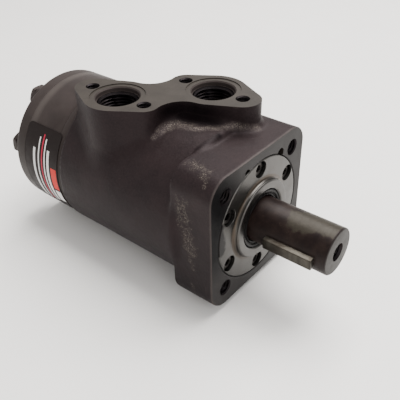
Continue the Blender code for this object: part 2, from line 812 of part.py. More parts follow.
def link_spacer():
    """The loose disc between the link's end and the rear cover, inside the rotor's bore."""
    front = LINK_REAR_CENTRE - LINK_SPLINE_HALF - 0.0008
    rear = RING_REAR + GAP
    edge = 0.0006
    profile = [
        (front, 0.0),
        (front, SPACER_RADIUS - edge),
        (front - edge, SPACER_RADIUS),
        (rear, SPACER_RADIUS),
        (rear, 0.0),
    ]
    spacer = turned("link_spacer", profile, (BRIGHT_STEEL, 0.3, 1.0), closed=False,
                    segments=MEDIUM)
    spacer.location = (0.0, ORBIT, 0.0)


def channel_plate():
    edge = 0.0003
    profile = [
        (PLATE_FRONT, 0.015),
        (PLATE_FRONT, REAR_RADIUS - edge),
        (PLATE_FRONT - edge, REAR_RADIUS),
        (PLATE_REAR, REAR_RADIUS),
        *groove_profile(PLATE_REAR, 1),
        (PLATE_REAR, 0.015),
    ]
    plate = turned("channel_plate", profile, (OLIVE_BLACK, 0.5, 0.3))
    drill_rear_bolts(plate, PLATE_REAR, PLATE_FRONT + 0.001)
    for index in range(RING_TEETH):
        drill_along_shaft(plate, "plate_feed_%d" % index, PLATE_FRONT + 0.001, PLATE_REAR - 0.001,
                          FEED_PITCH_RADIUS, pocket_angle(index), FEED_RADIUS)


def ring_inner_outline(per_tooth=12):
    """Seven round teeth standing in from the root circle."""
    count = RING_TEETH * per_tooth
    outline = []
    for step in range(count):
        turn = 360 * (step + 0.5) / count
        from_tooth = (turn + 180 / RING_TEETH) % (360 / RING_TEETH) - 180 / RING_TEETH
        offset = TOOTH_CIRCLE * math.sin(math.radians(from_tooth))
        radius = RING_ROOT
        if abs(offset) < TOOTH_RADIUS:
            near = TOOTH_CIRCLE * math.cos(math.radians(from_tooth))
            near -= math.sqrt(TOOTH_RADIUS**2 - offset**2)
            radius = min(radius, near)
        outline.append(around(radius, FIRST_TOOTH_ANGLE + turn))
    return outline


def gerotor_ring():
    profile = [
        (RING_FRONT, 0.0),
        (RING_FRONT, REAR_RADIUS),
        (RING_REAR, REAR_RADIUS),
        (RING_REAR, 0.0),
    ]
    ring = turned("gerotor_ring", profile, (OLIVE_BLACK, 0.5, 0.3), closed=False)
    outline = ring_inner_outline()
    pocket = prism_mesh("ring_pocket", outline, RING_REAR - 0.001, RING_FRONT + 0.001)
    cut(ring, cutter("ring_pocket", pocket))
    drill_rear_bolts(ring, RING_REAR, RING_FRONT + 0.001)


def rotor_outline(per_lobe=16):
    """The curve that keeps a running gap to all seven teeth as the rotor orbits."""
    count = ROTOR_LOBES * per_lobe
    start = math.radians(FIRST_TOOTH_ANGLE)
    inset = TOOTH_RADIUS + 2 * GAP
    outline = []
    for step in range(count):
        turn = 2 * math.pi * step / count
        fast = RING_TEETH * (turn - start)
        y = TOOTH_CIRCLE * math.cos(turn) - ORBIT * math.cos(fast)
        z = TOOTH_CIRCLE * math.sin(turn) - ORBIT * math.sin(fast)
        slope_y = -TOOTH_CIRCLE * math.sin(turn) + RING_TEETH * ORBIT * math.sin(fast)
        slope_z = TOOTH_CIRCLE * math.cos(turn) - RING_TEETH * ORBIT * math.cos(fast)
        length = math.hypot(slope_y, slope_z)
        outline.append((y - inset * slope_z / length, z + inset * slope_y / length))
    return outline


def rotor():
    rear = RING_REAR + SEAL_GAP
    front = RING_FRONT - SEAL_GAP
    gear = part("rotor", prism_mesh("rotor", rotor_outline(), rear, front),
                (BRIGHT_STEEL, 0.25, 1.0))
    gear.location = (0.0, ORBIT, 0.0)
    seat = spline_seat_cutter("rotor_spline_seat", front + 0.001, rear - 0.001)
    seat.location = (0.0, ORBIT, 0.0)
    cut(gear, seat)


def end_cover():
    round_over = 0.0022
    profile = [
        (REAR_COVER_FRONT, 0.0),
        *groove_profile(REAR_COVER_FRONT, -1)[::-1],
        (REAR_COVER_FRONT, REAR_RADIUS),
        (REAR_COVER_REAR + round_over, REAR_RADIUS),
    ]
    for step in range(1, 4):
        across, along = around(round_over, 90 * step / 3)
        profile.append((REAR_COVER_REAR + round_over - along, REAR_RADIUS - round_over + across))
    profile.append((REAR_COVER_REAR, 0.0))
    cover = turned("end_cover", profile, (OLIVE_BLACK, 0.5, 0.3), closed=False)
    drill_rear_bolts(cover, REAR_COVER_REAR, REAR_COVER_FRONT + 0.001)


def rear_bolts():
    washer_front = REAR_COVER_REAR - GAP
    head_front = washer_front - WASHER_THICKNESS - GAP
    head_rear = head_front - BOLT_HEAD_HEIGHT
    head = rod_mesh("bolt_head", (head_front, 0.0, 0.0), (head_rear, 0.0, 0.0),
                    BOLT_HEAD_CORNER, 6)
    blank = cutter("bolt_blank", head)
    shank = rod_mesh("bolt_shank", (head_front - 0.002, 0.0, 0.0), (BOLT_TIP, 0.0, 0.0),
                     BOLT_RADIUS)
    join(blank, cutter("bolt_shank", shank))
    bolt_mesh = baked(blank)
    washer = turned("washer_blank", washer_profile(washer_front, WASHER_THICKNESS,
                                                   BOLT_HOLE_RADIUS, WASHER_RADIUS),
                    None, segments=SMALL)
    washer_mesh = baked(washer)
    for index in range(RING_TEETH):
        y, z = around(BOLT_PITCH_RADIUS, tooth_angle(index))
        bolt = part("rear_bolt_%d" % (index + 1), bolt_mesh, (OLIVE_BLACK, 0.5, 0.4))
        bolt.location = (0.0, y, z)
        ring = part("bolt_washer_%d" % (index + 1), washer_mesh, (OLIVE_BLACK, 0.5, 0.4))
        ring.location = (0.0, y, z)
        ring.rotation_euler = (0.0, math.radians(90), 0.0)


# ---------------------------------------------------------------- drain plug and label
def drain_plug():
    """A hollow-hex plug on a sealing washer."""
    washer_low = DRAIN_FLAT_Y + GAP
    head_low = washer_low + 0.0010 + GAP
    head_high = head_low + 0.0030
    shank_low = DRAIN_FLAT_Y - DRAIN_HOLE_DEPTH + 0.002
    centre = Matrix.Translation((DRAIN_X, 0.0, 0.0)) @ Matrix.Rotation(math.radians(90), 4, "Z")
    edge = 0.0005
    plug_profile = [
        (head_high, 0.0),
        (head_high, 0.0090 - edge),
        (head_high - edge, 0.0090),
        (head_low, 0.0090),
        (head_low, DRAIN_HOLE_RADIUS - GAP),
        (shank_low, DRAIN_HOLE_RADIUS - GAP),
        (shank_low, 0.0),
    ]
    plug = turned("drain_plug", plug_profile, (DARK_STEEL, 0.4, 0.9), closed=False, segments=MEDIUM)
    socket = cutter("drain_socket", rod_mesh("drain_socket", (head_high - 0.005, 0.0, 0.0),
                                             (head_high + 0.001, 0.0, 0.0), 0.0035, 6))
    washer = turned("drain_washer", washer_profile(head_low - GAP, 0.0010,
                                                   DRAIN_HOLE_RADIUS + GAP, 0.0092),
                    (BRONZE, 0.35, 0.9), segments=MEDIUM)
    cut(plug, socket)
    flip = Matrix.Rotation(math.radians(90), 4, "Y")
    plug.matrix_local = centre @ flip
    washer.matrix_local = centre @ flip
    socket.matrix_local = centre


def label():
    """A thin film round the near side of the gear set."""
    front = PLATE_FRONT - 0.0024
    rear = RING_REAR + 0.0006
    radius = REAR_RADIUS + GAP
    columns = 18
    mesh = bpy.data.meshes.new("label")
    shape = bmesh.new()
    rows = []
    for station in (front, rear):
        row = []
        for step in range(columns + 1):
            degrees = LABEL_START + (LABEL_END - LABEL_START) * step / columns
            y, z = around(radius, degrees)
            row.append(shape.verts.new((station, y, z)))
        rows.append(row)
    for index in range(columns):
        shape.faces.new((rows[1][index], rows[1][index + 1], rows[0][index + 1], rows[0][index]))
    shape.to_mesh(mesh)
    shape.free()
    film = part("label", mesh, (LABEL_BLACK, 0.3, 0.0))
    thicken = film.modifiers.new("film", "SOLIDIFY")
    thicken.thickness = LABEL_THICKNESS
    thicken.offset = 1.0
    return film


def groove_profile(face, into):
    """A face groove for a body seal: into is -1 when it is cut towards the rear."""
    floor = face + into * BODY_SEAL_GROOVE
    inner = BODY_SEAL_RADIUS - BODY_SEAL_SECTION / 2 - GAP
    outer = BODY_SEAL_RADIUS + BODY_SEAL_SECTION / 2 + GAP
    return [(face, outer), (floor, outer), (floor, inner), (face, inner)]


def body_seals():
    """The O-rings between the housing, the plate, the gear ring and the rear cover."""
    look = (RUBBER_BLACK, 0.5, 0.0)
    joints = (("housing_seal", -HOUSING_LENGTH, 1), ("plate_seal", PLATE_REAR, 1),
              ("end_cover_seal", REAR_COVER_FRONT, -1))
    for name, face, into in joints:
        middle = face + into * (BODY_SEAL_GROOVE - SEAL_GAP - BODY_SEAL_SECTION / 2)
        ring_seal(name, middle, BODY_SEAL_RADIUS, BODY_SEAL_SECTION, look)


clear_scene()
PARTS = new_collection("hydraulic_motor")
CUTTERS = new_collection("cutters")
AXIS = shaft_axis_empty()
housing()
front_cover()
cover_screws()
shaft_seals()
thrust_bearing()
output_shaft()
shaft_key()
drive_link()
link_spacer()
channel_plate()
gerotor_ring()
rotor()
end_cover()
rear_bolts()
body_seals()
drain_plug()
label()
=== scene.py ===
"""The looks of an orbital hydraulic motor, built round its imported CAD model.

Every shape is worked out in millimetres in the motor's own coordinates: x is the station along
the shaft, 0 at the flange's front face and negative behind it, and y and z are measured from the
shaft's axis. TO_ROW turns those into the frame's metres. Angles round the shaft start at +Y and
grow towards +Z.
"""
import json
import math

import bpy
import numpy as np
from mathutils import Matrix, Vector


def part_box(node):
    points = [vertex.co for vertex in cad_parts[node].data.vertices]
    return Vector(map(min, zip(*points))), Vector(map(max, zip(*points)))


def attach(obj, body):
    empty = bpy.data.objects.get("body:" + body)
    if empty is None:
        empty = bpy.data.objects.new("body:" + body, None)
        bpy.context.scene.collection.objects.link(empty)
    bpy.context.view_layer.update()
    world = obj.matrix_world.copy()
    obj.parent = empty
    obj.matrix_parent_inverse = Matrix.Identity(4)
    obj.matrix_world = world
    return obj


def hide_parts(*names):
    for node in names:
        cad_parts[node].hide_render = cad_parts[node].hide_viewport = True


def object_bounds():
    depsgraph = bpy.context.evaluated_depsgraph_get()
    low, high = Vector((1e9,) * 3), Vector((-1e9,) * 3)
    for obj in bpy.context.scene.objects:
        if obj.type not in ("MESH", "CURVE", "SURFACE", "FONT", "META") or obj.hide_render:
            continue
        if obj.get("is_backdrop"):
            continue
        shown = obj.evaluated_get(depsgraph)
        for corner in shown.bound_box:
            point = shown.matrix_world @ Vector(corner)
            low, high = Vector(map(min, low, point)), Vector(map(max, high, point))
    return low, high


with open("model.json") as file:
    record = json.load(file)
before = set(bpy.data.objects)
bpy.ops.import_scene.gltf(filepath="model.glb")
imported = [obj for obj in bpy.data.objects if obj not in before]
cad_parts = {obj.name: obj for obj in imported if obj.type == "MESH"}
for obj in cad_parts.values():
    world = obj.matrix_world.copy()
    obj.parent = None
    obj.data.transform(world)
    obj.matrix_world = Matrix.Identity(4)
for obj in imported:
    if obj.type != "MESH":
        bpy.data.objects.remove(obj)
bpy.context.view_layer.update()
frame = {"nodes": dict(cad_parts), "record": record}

RECORD = frame["record"]
MM = 0.001
AXIS_HEIGHT = next(j for j in RECORD["behaviour"]["joints"] if j["name"] == "shaft_spin")["pos_m"][2]
FLANGE_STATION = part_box("housing")[1].x
TO_ROW = Matrix.Translation((FLANGE_STATION, 0.0, AXIS_HEIGHT)) @ Matrix.Scale(MM, 4)
TO_MOTOR = TO_ROW.inverted()


def motor_box(node):
    """A CAD node's lowest and highest corners, in the motor's millimetres."""
    return [TO_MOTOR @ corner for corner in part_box(node)]


def stations(node):
    """The stations of a CAD node's front and rear."""
    low, high = motor_box(node)
    return high.x, low.x


def opening_centre(name):
    """The middle of one of the record's openings, as the motor's (x, y)."""
    low, high = next(o for o in RECORD["physics"]["openings"] if o["name"] == name)["box_m"]
    middle = TO_MOTOR @ ((Vector(low) + Vector(high)) / 2)
    return middle.x, middle.y


# Stations and heights that the frame gives
SHAFT_END = stations("output_shaft")[0]
PORT_TOP = motor_box("housing")[1].z
HOUSING_REAR = stations("housing")[1]
PLATE = stations("channel_plate")
RING = stations("gerotor_ring")
REAR_COVER = stations("end_cover")
LABEL = stations("label")
KEY = stations("shaft_key")
PORTS = [opening_centre("port_a"), opening_centre("port_b")]

# Casting, in millimetres
BARREL_RADIUS = 44.0
BARREL_FRONT = -22.0
BARREL_SHOULDER = 3.2
FLANGE_HALF = 40.5
FLANGE_CORNER = 12.0
FLANGE_DEPTH = 26.0
PORT_WALL = 18.5
OUTER_END = 10.0
INNER_END = 8.0
WAIST = 14.0
BOLT_SPREAD = 19.4
FOOT_FILLET = 4.0
FLANGE_FILLET = 1.6

CHAMFER = 0.7
EDGE_ROUNDING = 1.1
STOCK = 0.2
BOSS_MIDDLE = 30.0
BOSS_HALF = 27.0
GATE_PLACE = (-97.0, -20.5, 38.6)
GATE_RADIUS = 2.2

# Machining, gear set, shaft and label
VALVE_BORE = 19.3
COVER_SEAT = 34.95
FLANGE_HOLE_REACH = 41.275
TOOTH_COUNT = 7
FIRST_TOOTH = -90.0
REAR_RADIUS = 43.2
ROUND_OVER = 2.2
JOINT = 0.2
# Where a band of painted light crosses the top of the rear sections
PAINTED_LIGHT_STATION = RING[1] + 3.0
REAR_BOLT_PITCH = 35.0
REAR_BOLT_BORE = 4.2
REAR_BOLT_FLOOR = -95.5
HEAD_CORNER = 7.4
TOOTH_CIRCLE = 27.5
TOOTH_RADIUS = 8.0
RING_ROOT = 25.2
COVER_RADIUS = 34.65
PILOT_RADIUS = 22.2
SHAFT_RADIUS = 12.7
JOURNAL_RADIUS = 14.0
SPOOL_RADIUS = 19.0
SCREW_PITCH = 29.7
KEY_ANGLE = 186.5
KEY_HALF = 3.175
KEY_FLOOR = 9.15
KEY_TOP = 15.5
LABEL_RADIUS = 43.3
LABEL_THICKNESS = 0.25
LABEL_CORNER = 2.5
LABEL_ANGLES = (141.2, 214.8)

# Fineness
ROUND = 160
SMALL_ROUND = 48
VOXEL = 1.0


# ---------------------------------------------------------------- shapes: (points, faces) pairs
def combine(shapes):
    """Several shapes as one, each still a closed body of its own."""
    points = []
    faces = []
    start = 0
    for shape_points, shape_faces in shapes:
        points.append(shape_points)
        faces += [tuple(index + start for index in face) for face in shape_faces]
        start += len(shape_points)
    return np.concatenate(points), faces


def moved(shape, matrix):
    points, faces = shape
    turn = np.array(matrix.to_3x3())
    return points @ turn.T + np.array(matrix.translation), faces


def loft(rings, closed=False):
    """Joins rings of points, front to rear; a ring of one point closes an end."""
    starts = np.cumsum([0] + [len(ring) for ring in rings])
    faces = []
    pairs = list(zip(range(len(rings)), range(1, len(rings))))
    if closed:
        pairs.append((len(rings) - 1, 0))
    for near, far in pairs:
        a, b = starts[near], starts[far]
        count = max(len(rings[near]), len(rings[far]))
        for i in range(count):
            j = (i + 1) % count
            if len(rings[near]) == 1:
                faces.append((a, b + i, b + j))
            elif len(rings[far]) == 1:
                faces.append((a + i, b, a + j))
            else:
                faces.append((a + i, b + i, b + j, a + j))
    if not closed and len(rings[0]) > 1:
        faces.append(tuple(range(len(rings[0]))))
    if not closed and len(rings[-1]) > 1:
        faces.append(tuple(starts[-2] + i for i in reversed(range(len(rings[-1])))))
    return np.concatenate(rings), faces


def circle(x, radius, segments):
    if np.max(radius) < 1e-6:
        return np.array([[x, 0.0, 0.0]])
    turn = np.arange(segments) * 2 * math.pi / segments
    radius = radius * np.ones(segments)
    return np.stack([np.full(segments, x), radius * np.cos(turn), radius * np.sin(turn)], axis=1)


def softened(profile, radius, closed=False, steps=3):
    """The profile with each corner rounded off."""
    count = len(profile)
    soft = []
    for index, corner in enumerate(profile):
        if not closed and index in (0, count - 1):
            soft.append(corner)
            continue
        corner = np.array(corner, float)
        before = np.array(profile[index - 1], float) - corner
        after = np.array(profile[(index + 1) % count], float) - corner
        back = min(radius, 0.4 * np.linalg.norm(before))
        on = min(radius, 0.4 * np.linalg.norm(after))
        start = corner + before * back / np.linalg.norm(before)
        end = corner + after * on / np.linalg.norm(after)
        for step in range(steps + 1):
            t = step / steps
            point = (1 - t) ** 2 * start + 2 * t * (1 - t) * corner + t * t * end
            soft.append(tuple(point))
    return soft


def lathe(profile, segments=ROUND, closed=False):
    """A turned body from (x, radius) points: the outer side front to rear, then back inside."""
    return loft([circle(x, radius, segments) for x, radius in profile], closed)


def tube(front, rear, inner, outer):
    """The profile of a plain ring, or of a disc if the inner radius is 0."""
    return [(front, inner), (front, outer), (rear, outer), (rear, inner)]


def turned_ring(profile, rounding, segments=ROUND):
    """A ring turned from a closed profile with its corners rounded."""
    return lathe(softened(profile, rounding, closed=True), segments, closed=True)


def thread_wave(x, pitch, segments):
    """How far a thread's groove stands out at each point of the ring at x, from 0 to 1."""
    phase = (x / pitch - np.arange(segments) / segments) % 1.0
    return np.clip(1.3 * np.abs(2 * phase - 1) - 0.15, 0.0, 1.0)


def threaded_hole(mouth, first, last, minor, depth, pitch, segments):
    """A cutter along -X: plain mouth profile, then a helical thread, then a drill point."""
    rings = [circle(x, radius, segments) for x, radius in mouth]
    rows = int((first - last) / pitch * 7)
    for row in range(rows + 1):
        x = first + (last - first) * row / rows
        fade = min(1.0, row / 4, (rows - row) / 8)
        rings.append(circle(x, minor + depth * fade * thread_wave(x, pitch, segments), segments))
    rings.append(circle(last - minor * 0.5, 0.0, segments))
    return loft(rings)


def rod(start, end, radius, segments=SMALL_ROUND):
    """A round cutter along -X from start to end."""
    return lathe(tube(start, end, 0.0, radius), segments)


def slab(low, high):
    """A box between two corners."""
    xs, ys, zs = zip(low, high)
    corners = ((ys[0], zs[0]), (ys[1], zs[0]), (ys[1], zs[1]), (ys[0], zs[1]))
    near = np.array([[xs[1], y, z] for y, z in corners])
    far = near.copy()
    far[:, 0] = xs[0]
    return loft([near, far])


def turned_to(degrees, radius=0.0):
    """The matrix that carries a shape from the shaft's axis out to an angle and radius."""
    angle = math.radians(degrees)
    return Matrix.Translation((0.0, radius * math.cos(angle), radius * math.sin(angle)))


REAR_BOLT_PLACES = [turned_to(FIRST_TOOTH + 360 * index / TOOTH_COUNT, REAR_BOLT_PITCH)
                    for index in range(TOOTH_COUNT)]
SCREW_PLACES = [turned_to(30.0 + 60.0 * index, SCREW_PITCH) for index in range(6)]
UPWARD = Matrix.Rotation(math.radians(-90), 4, "Y")
SIDEWAYS = Matrix.Rotation(math.radians(90), 4, "Z")


# ---------------------------------------------------------------- objects
def added(name, data):
    """A new object in the scene with that data."""
    made = bpy.data.objects.new(name, data)
    bpy.context.scene.collection.objects.link(made)
    return made


def solid(name, shape, *materials):
    points, faces = shape
    mesh = bpy.data.meshes.new(name)
    mesh.from_pydata(points.tolist(), [], faces)
    for material in materials:
        mesh.materials.append(material)
    return added(name, mesh)


def shape_of(made):
    """An object's shape, with the object removed."""
    points = np.array([vertex.co for vertex in made.data.vertices])
    faces = [tuple(face.vertices) for face in made.data.polygons]
    bpy.data.objects.remove(made, do_unlink=True)
    return points, faces


def applied(made):
    """The object with its modifiers built into its mesh."""
    graph = bpy.context.evaluated_depsgraph_get()
    mesh = bpy.data.meshes.new_from_object(made.evaluated_get(graph))
    made.modifiers.clear()
    made.data = mesh
    return made


def carve(made, shape, material=None, operation="DIFFERENCE"):
    """Cuts a shape out of an object; the cut faces take the material."""
    tool = solid(made.name + "_tool", shape, *([material] if material else []))
    modifier = made.modifiers.new("carve", "BOOLEAN")
    modifier.operation = operation
    modifier.solver = "EXACT"
    modifier.material_mode = "TRANSFER" if material else "INDEX"
    modifier.object = tool
    applied(made)
    bpy.data.objects.remove(tool, do_unlink=True)
    return made


def finished(made, node, body="motor_body", smooth_angle=32):
    """Puts a piece in the frame: it rides on the body and stands for the CAD node."""
    made.data.transform(TO_ROW)
    made.name = node + "_finished"
    made.data.shade_smooth()
    made.data.set_sharp_from_angle(angle=math.radians(smooth_angle))
    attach(made, body)
    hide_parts(node)
    return made


# ---------------------------------------------------------------- materials
class Look:
    """A Principled material and short ways to add nodes to it."""

    def __init__(self, name, **values):
        self.material = bpy.data.materials.new(name)
        self.material.use_nodes = True
        self.tree = self.material.node_tree
        self.shader = self.tree.nodes["Principled BSDF"]
        for socket, value in values.items():
            self.shader.inputs[socket.replace("_", " ")].default_value = value
        self.place = self.node("ShaderNodeTexCoord").outputs["Object"]

    def node(self, kind, inputs=(), **settings):
        made = self.tree.nodes.new(kind)
        for key, value in settings.items():
            setattr(made, key, value)
        for key, value in dict(inputs).items():
            if isinstance(value, bpy.types.NodeSocket):
                self.tree.links.new(value, made.inputs[key])
            else:
                made.inputs[key].default_value = value
        return made

    def set(self, socket, value):
        self.tree.links.new(value, self.shader.inputs[socket])

    def noise(self, millimetres, detail=4.0, roughness=0.55, where=None, stretch=None):
        """Noise from 0 to 1 with features of about that size."""
        where = where or self.place
        if stretch:
            where = self.node("ShaderNodeVectorMath", {0: where, 1: stretch}, operation="MULTIPLY").outputs[0]
        scale = 1.0 / (millimetres * MM)
        inputs = {"Vector": where, "Scale": scale, "Detail": detail, "Roughness": roughness}
        return self.node("ShaderNodeTexNoise", inputs).outputs["Fac"]

    def turning(self, millimetres, detail, roughness, *across):
        """Noise drawn out round the shaft's axis; across is the radius and station, in any order."""
        where = self.node("ShaderNodeCombineXYZ", dict(enumerate(across))).outputs[0]
        return self.noise(millimetres, detail, roughness, where)

    def spread(self, value, low, high, to_low=0.0, to_high=1.0):
        inputs = {"Value": value, "From Min": low, "From Max": high, "To Min": to_low, "To Max": to_high}
        return self.node("ShaderNodeMapRange", inputs, clamp=True).outputs["Result"]

    def math(self, operation, a, b=0.0):
        return self.node("ShaderNodeMath", {0: a, 1: b}, operation=operation).outputs[0]

    def times(self, a, b):
        return self.math("MULTIPLY", a, b)

    def between(self, value, low, high):
        return self.times(self.math("GREATER_THAN", value, low), self.math("LESS_THAN", value, high))

    def total(self, *values):
        result = values[0]
        for value in values[1:]:
            result = self.math("ADD", result, value)
        return result

    def mix(self, share, a, b):
        made = self.node("ShaderNodeMix", {0: share}, data_type="RGBA")
        for index, colour in ((6, a), (7, b)):
            if isinstance(colour, bpy.types.NodeSocket):
                self.tree.links.new(colour, made.inputs[index])
            else:
                made.inputs[index].default_value = (*colour, 1.0)
        return made.outputs[2]

    def blend(self, value, low, high, a, b, most=1.0):
        """From a towards b as the value goes from low to high, with at most that share of b."""
        return self.mix(self.spread(value, low, high, 0.0, most), a, b)

    def strip(self, start, end, radius):
        """1 on a line between two of the motor's points, falling to 0 at the radius."""
        first, last = (TO_ROW @ Vector(point) for point in (start, end))
        run = last - first
        kind = "ShaderNodeVectorMath"
        away = self.node(kind, {0: self.place, 1: tuple(first)}, operation="SUBTRACT").outputs[0]
        part = {0: away, 1: tuple(run / max(run.length_squared, 1e-9))}
        share = self.spread(self.node(kind, part, operation="DOT_PRODUCT").outputs["Value"], 0.0, 1.0)
        foot = self.node(kind, {0: tuple(run), "Scale": share}, operation="SCALE").outputs[0]
        gap = self.node(kind, {0: away, 1: foot}, operation="DISTANCE").outputs["Value"]
        return self.spread(gap, radius * MM, radius * 0.2 * MM)

    def brightest(self, places):
        """How near the closest of several marked lines is, from 0 to 1."""
        result = None
        for start, end, radius in places:
            near = self.strip(start, end, radius)
            result = near if result is None else self.math("MAXIMUM", result, near)
        return result

    def polar(self):
        """The station, the distance from the shaft's axis and the angle, as sockets."""
        inputs = {0: self.place, 1: (FLANGE_STATION, 0.0, AXIS_HEIGHT)}
        local = self.node("ShaderNodeVectorMath", inputs, operation="SUBTRACT").outputs[0]
        parts = self.node("ShaderNodeSeparateXYZ", {0: local}).outputs
        squares = self.total(self.times(parts[1], parts[1]), self.times(parts[2], parts[2]))
        return parts[0], self.math("SQRT", squares), self.math("ARCTAN2", parts[2], parts[1])

    def surface(self, colour, roughness, height, millimetres, strength):
        """The material with that colour, that roughness and bumps of that height."""
        self.set("Base Color", colour)
        self.set("Roughness", roughness)
        inputs = {"Height": height, "Distance": millimetres * MM, "Strength": strength}
        self.set("Normal", self.node("ShaderNodeBump", inputs).outputs["Normal"])
        return self.material


WARM_SHEEN = (1.0, 0.86, 0.84, 1.0)

# Where the paint on the casting is scuffed or dusty: a line from point to point and how wide
SCUFFS = (
    ((-21.0, -29.0, 39.8), (-9.0, -31.5, 40.0), 7.0),
    ((-9.0, -31.5, 40.0), (-6.5, -37.0, 36.5), 3.0),
    ((-18.5, -40.5, 24.0), (-14.0, -40.5, -4.0), 9.5),
    ((-13.5, -40.5, -10.0), (-12.5, -40.5, -15.0), 3.6),
    ((-13.0, -40.0, -27.0), (-12.0, -39.0, -31.0), 3.6),
    ((-4.0, -40.5, -22.0), (-4.0, -40.5, -24.5), 2.2),
    ((-1.0, -38.0, -34.0), (-1.0, -34.0, -37.5), 3.0),
    ((-106.0, -36.0, -18.0), (-102.0, -28.0, -33.0), 7.0),
    ((-84.0, -40.5, -8.0), (-83.0, -38.0, -22.0), 3.5),
    ((-27.5, 7.4, 54.2), (-21.5, 8.6, 54.2), 1.6),
)

# Where the sand casting's fillets catch the light, in the same way
GLINTS = (
    ((-53.2, -20.5, 39.3), (-53.0, -16.5, 41.2), 2.4),
    ((-53.0, -16.5, 41.2), (-48.0, -8.6, 43.6), 3.8),
    ((-48.0, -8.6, 43.6), (-35.0, -5.0, 44.2), 3.8),
    ((-35.0, -5.0, 44.2), (-26.5, 1.0, 44.6), 3.2),
    ((-26.5, 1.0, 44.6), (-21.0, 8.5, 44.2), 2.8),
    ((-21.0, 8.5, 44.2), (-14.0, 16.5, 41.5), 2.8),
)

# Painted shade, near black, on the walls under the port face and in the crease where the barrel meets the
# flange
PAINTED_WALL_SHADE = (
    ((-57.0, -13.0, 50.5), (-48.0, -1.0, 50.5), 9.0),
    ((-48.0, -1.0, 50.5), (-26.0, 1.0, 50.5), 8.0),
    ((-50.0, -3.5, 46.5), (-30.0, 1.5, 46.5), 6.0),
    ((-26.2, -17.0, 39.6), (-23.6, -4.0, 42.8), 2.4),
)


def cast_paint():
    """Satin brown-black paint on a sand casting: painted shade below and on the walls under the port face,
    painted highlights along the fillets, pale where it is scuffed.
    """
    look = Look("cast_paint", Specular_Tint=(1.0, 0.86, 0.90, 1.0))
    clouds = look.noise(22.0, 3.0)
    sand = look.noise(1.1, 6.0, 0.65)
    grit = look.noise(0.45, 3.0, 0.7)
    base = look.blend(clouds, 0.35, 0.68, (0.0092, 0.0058, 0.0064), (0.0174, 0.0113, 0.0119))
    base = look.blend(sand, 0.40, 0.75, base, (0.027, 0.0193, 0.0198), 0.45)
    # painted shade: the near side of the casting darkens towards the bottom
    oil_and_painted_shade = look.times(look.strip((-105.0, -30.0, -52.0), (-10.0, -30.0, -52.0), 76.0), 0.85)
    base = look.mix(oil_and_painted_shade, base, (0.0040, 0.0026, 0.0031))
    # painted shade: the walls under the port face and the crease by the flange go near black
    painted_wall_shade = look.brightest(PAINTED_WALL_SHADE)
    base = look.mix(painted_wall_shade, base, (0.0033, 0.0020, 0.0025))
    uneven = look.spread(look.noise(4.0, 3.0), 0.35, 0.6, 0.35, 1.0)
    glint = look.times(look.brightest(GLINTS), uneven)
    base = look.mix(look.times(glint, 0.6), base, (0.056, 0.044, 0.045))
    worn = look.brightest(SCUFFS)
    patches = look.total(look.noise(3.6, 5.0, 0.75), look.times(worn, 0.36))
    specks = look.times(look.spread(look.noise(0.55, 6.0, 0.85), 0.51, 0.65),
                        look.spread(patches, 0.74, 0.98))
    dust = look.times(look.spread(worn, 0.0, 0.5, 0.0, 0.75), specks)
    shine = look.times(glint, look.spread(look.noise(0.4, 4.0, 0.7), 0.52, 0.66, 0.0, 0.9))
    thin = look.times(look.spread(look.noise(0.9, 4.0, 0.7), 0.72, 0.78), 0.35)
    marks = look.math("MAXIMUM", look.math("MAXIMUM", dust, shine), thin)
    station, _, _ = look.polar()
    edge = look.times(look.spread(station, -1.3 * MM, -0.5 * MM),
                      look.spread(clouds, 0.3, 0.6, 0.3, 0.8))
    base = look.mix(edge, base, (0.052, 0.044, 0.041))
    # the painted shade on those walls also takes most of their sheen away
    look.set("Specular IOR Level", look.spread(painted_wall_shade, 0.0, 1.0, 0.14, 0.04))
    height = look.total(look.times(sand, 0.55), look.times(grit, 0.25),
                        look.times(look.noise(5.0, 3.0), 0.9), look.times(marks, 0.3))
    colour = look.mix(marks, base, (0.34, 0.30, 0.245))
    roughness = look.spread(look.total(sand, marks), 0.3, 1.3, 0.46, 0.74)
    return look.surface(colour, roughness, height, 0.30, 0.75)


def machined_paint():
    """The same paint on faces cut flat: smoother, and a little paler where it's thin."""
    look = Look("machined_paint", Specular_IOR_Level=0.22)
    clouds = look.noise(14.0, 4.0)
    fine = look.noise(0.6, 5.0, 0.65)
    marks = look.noise(2.0, 4.0, 0.6, stretch=(1.0, 0.4, 1.0))
    base = look.blend(clouds, 0.35, 0.68, (0.0210, 0.0168, 0.0138), (0.031, 0.0252, 0.0208))
    base = look.blend(fine, 0.62, 0.74, base, (0.11, 0.090, 0.072), 0.5)
    roughness = look.spread(look.total(clouds, marks), 0.7, 1.3, 0.40, 0.58)
    return look.surface(base, roughness, look.total(fine, look.times(marks, 0.6)), 0.05, 0.7)


def front_face_paint():
    """The flange's front face and bores: darker, with painted shade on the near side, and turning marks."""
    look = Look("front_face_paint")
    station, radius, _ = look.polar()
    rings = look.turning(0.5, 2.0, 0.55, radius, station)
    clouds = look.noise(12.0, 4.0)
    fine = look.noise(0.7, 5.0, 0.65)
    base = look.blend(clouds, 0.35, 0.7, (0.0100, 0.0085, 0.0086), (0.019, 0.0165, 0.0160))
    # painted shade: the near side of the front face goes near black and loses most of its sheen
    painted_face_shade = look.strip((0.0, -38.0, 30.0), (0.0, -38.0, 0.0), 22.0)
    base = look.mix(painted_face_shade, base, (0.0022, 0.0020, 0.0024))
    base = look.blend(fine, 0.66, 0.76, base, (0.12, 0.112, 0.105), 0.6)
    look.set("Specular IOR Level", look.spread(painted_face_shade, 0.0, 1.0, 0.16, 0.05))
    roughness = look.spread(clouds, 0.3, 0.7, 0.42, 0.58)
    return look.surface(base, roughness, look.total(rings, look.times(fine, 0.6)), 0.04, 0.6)


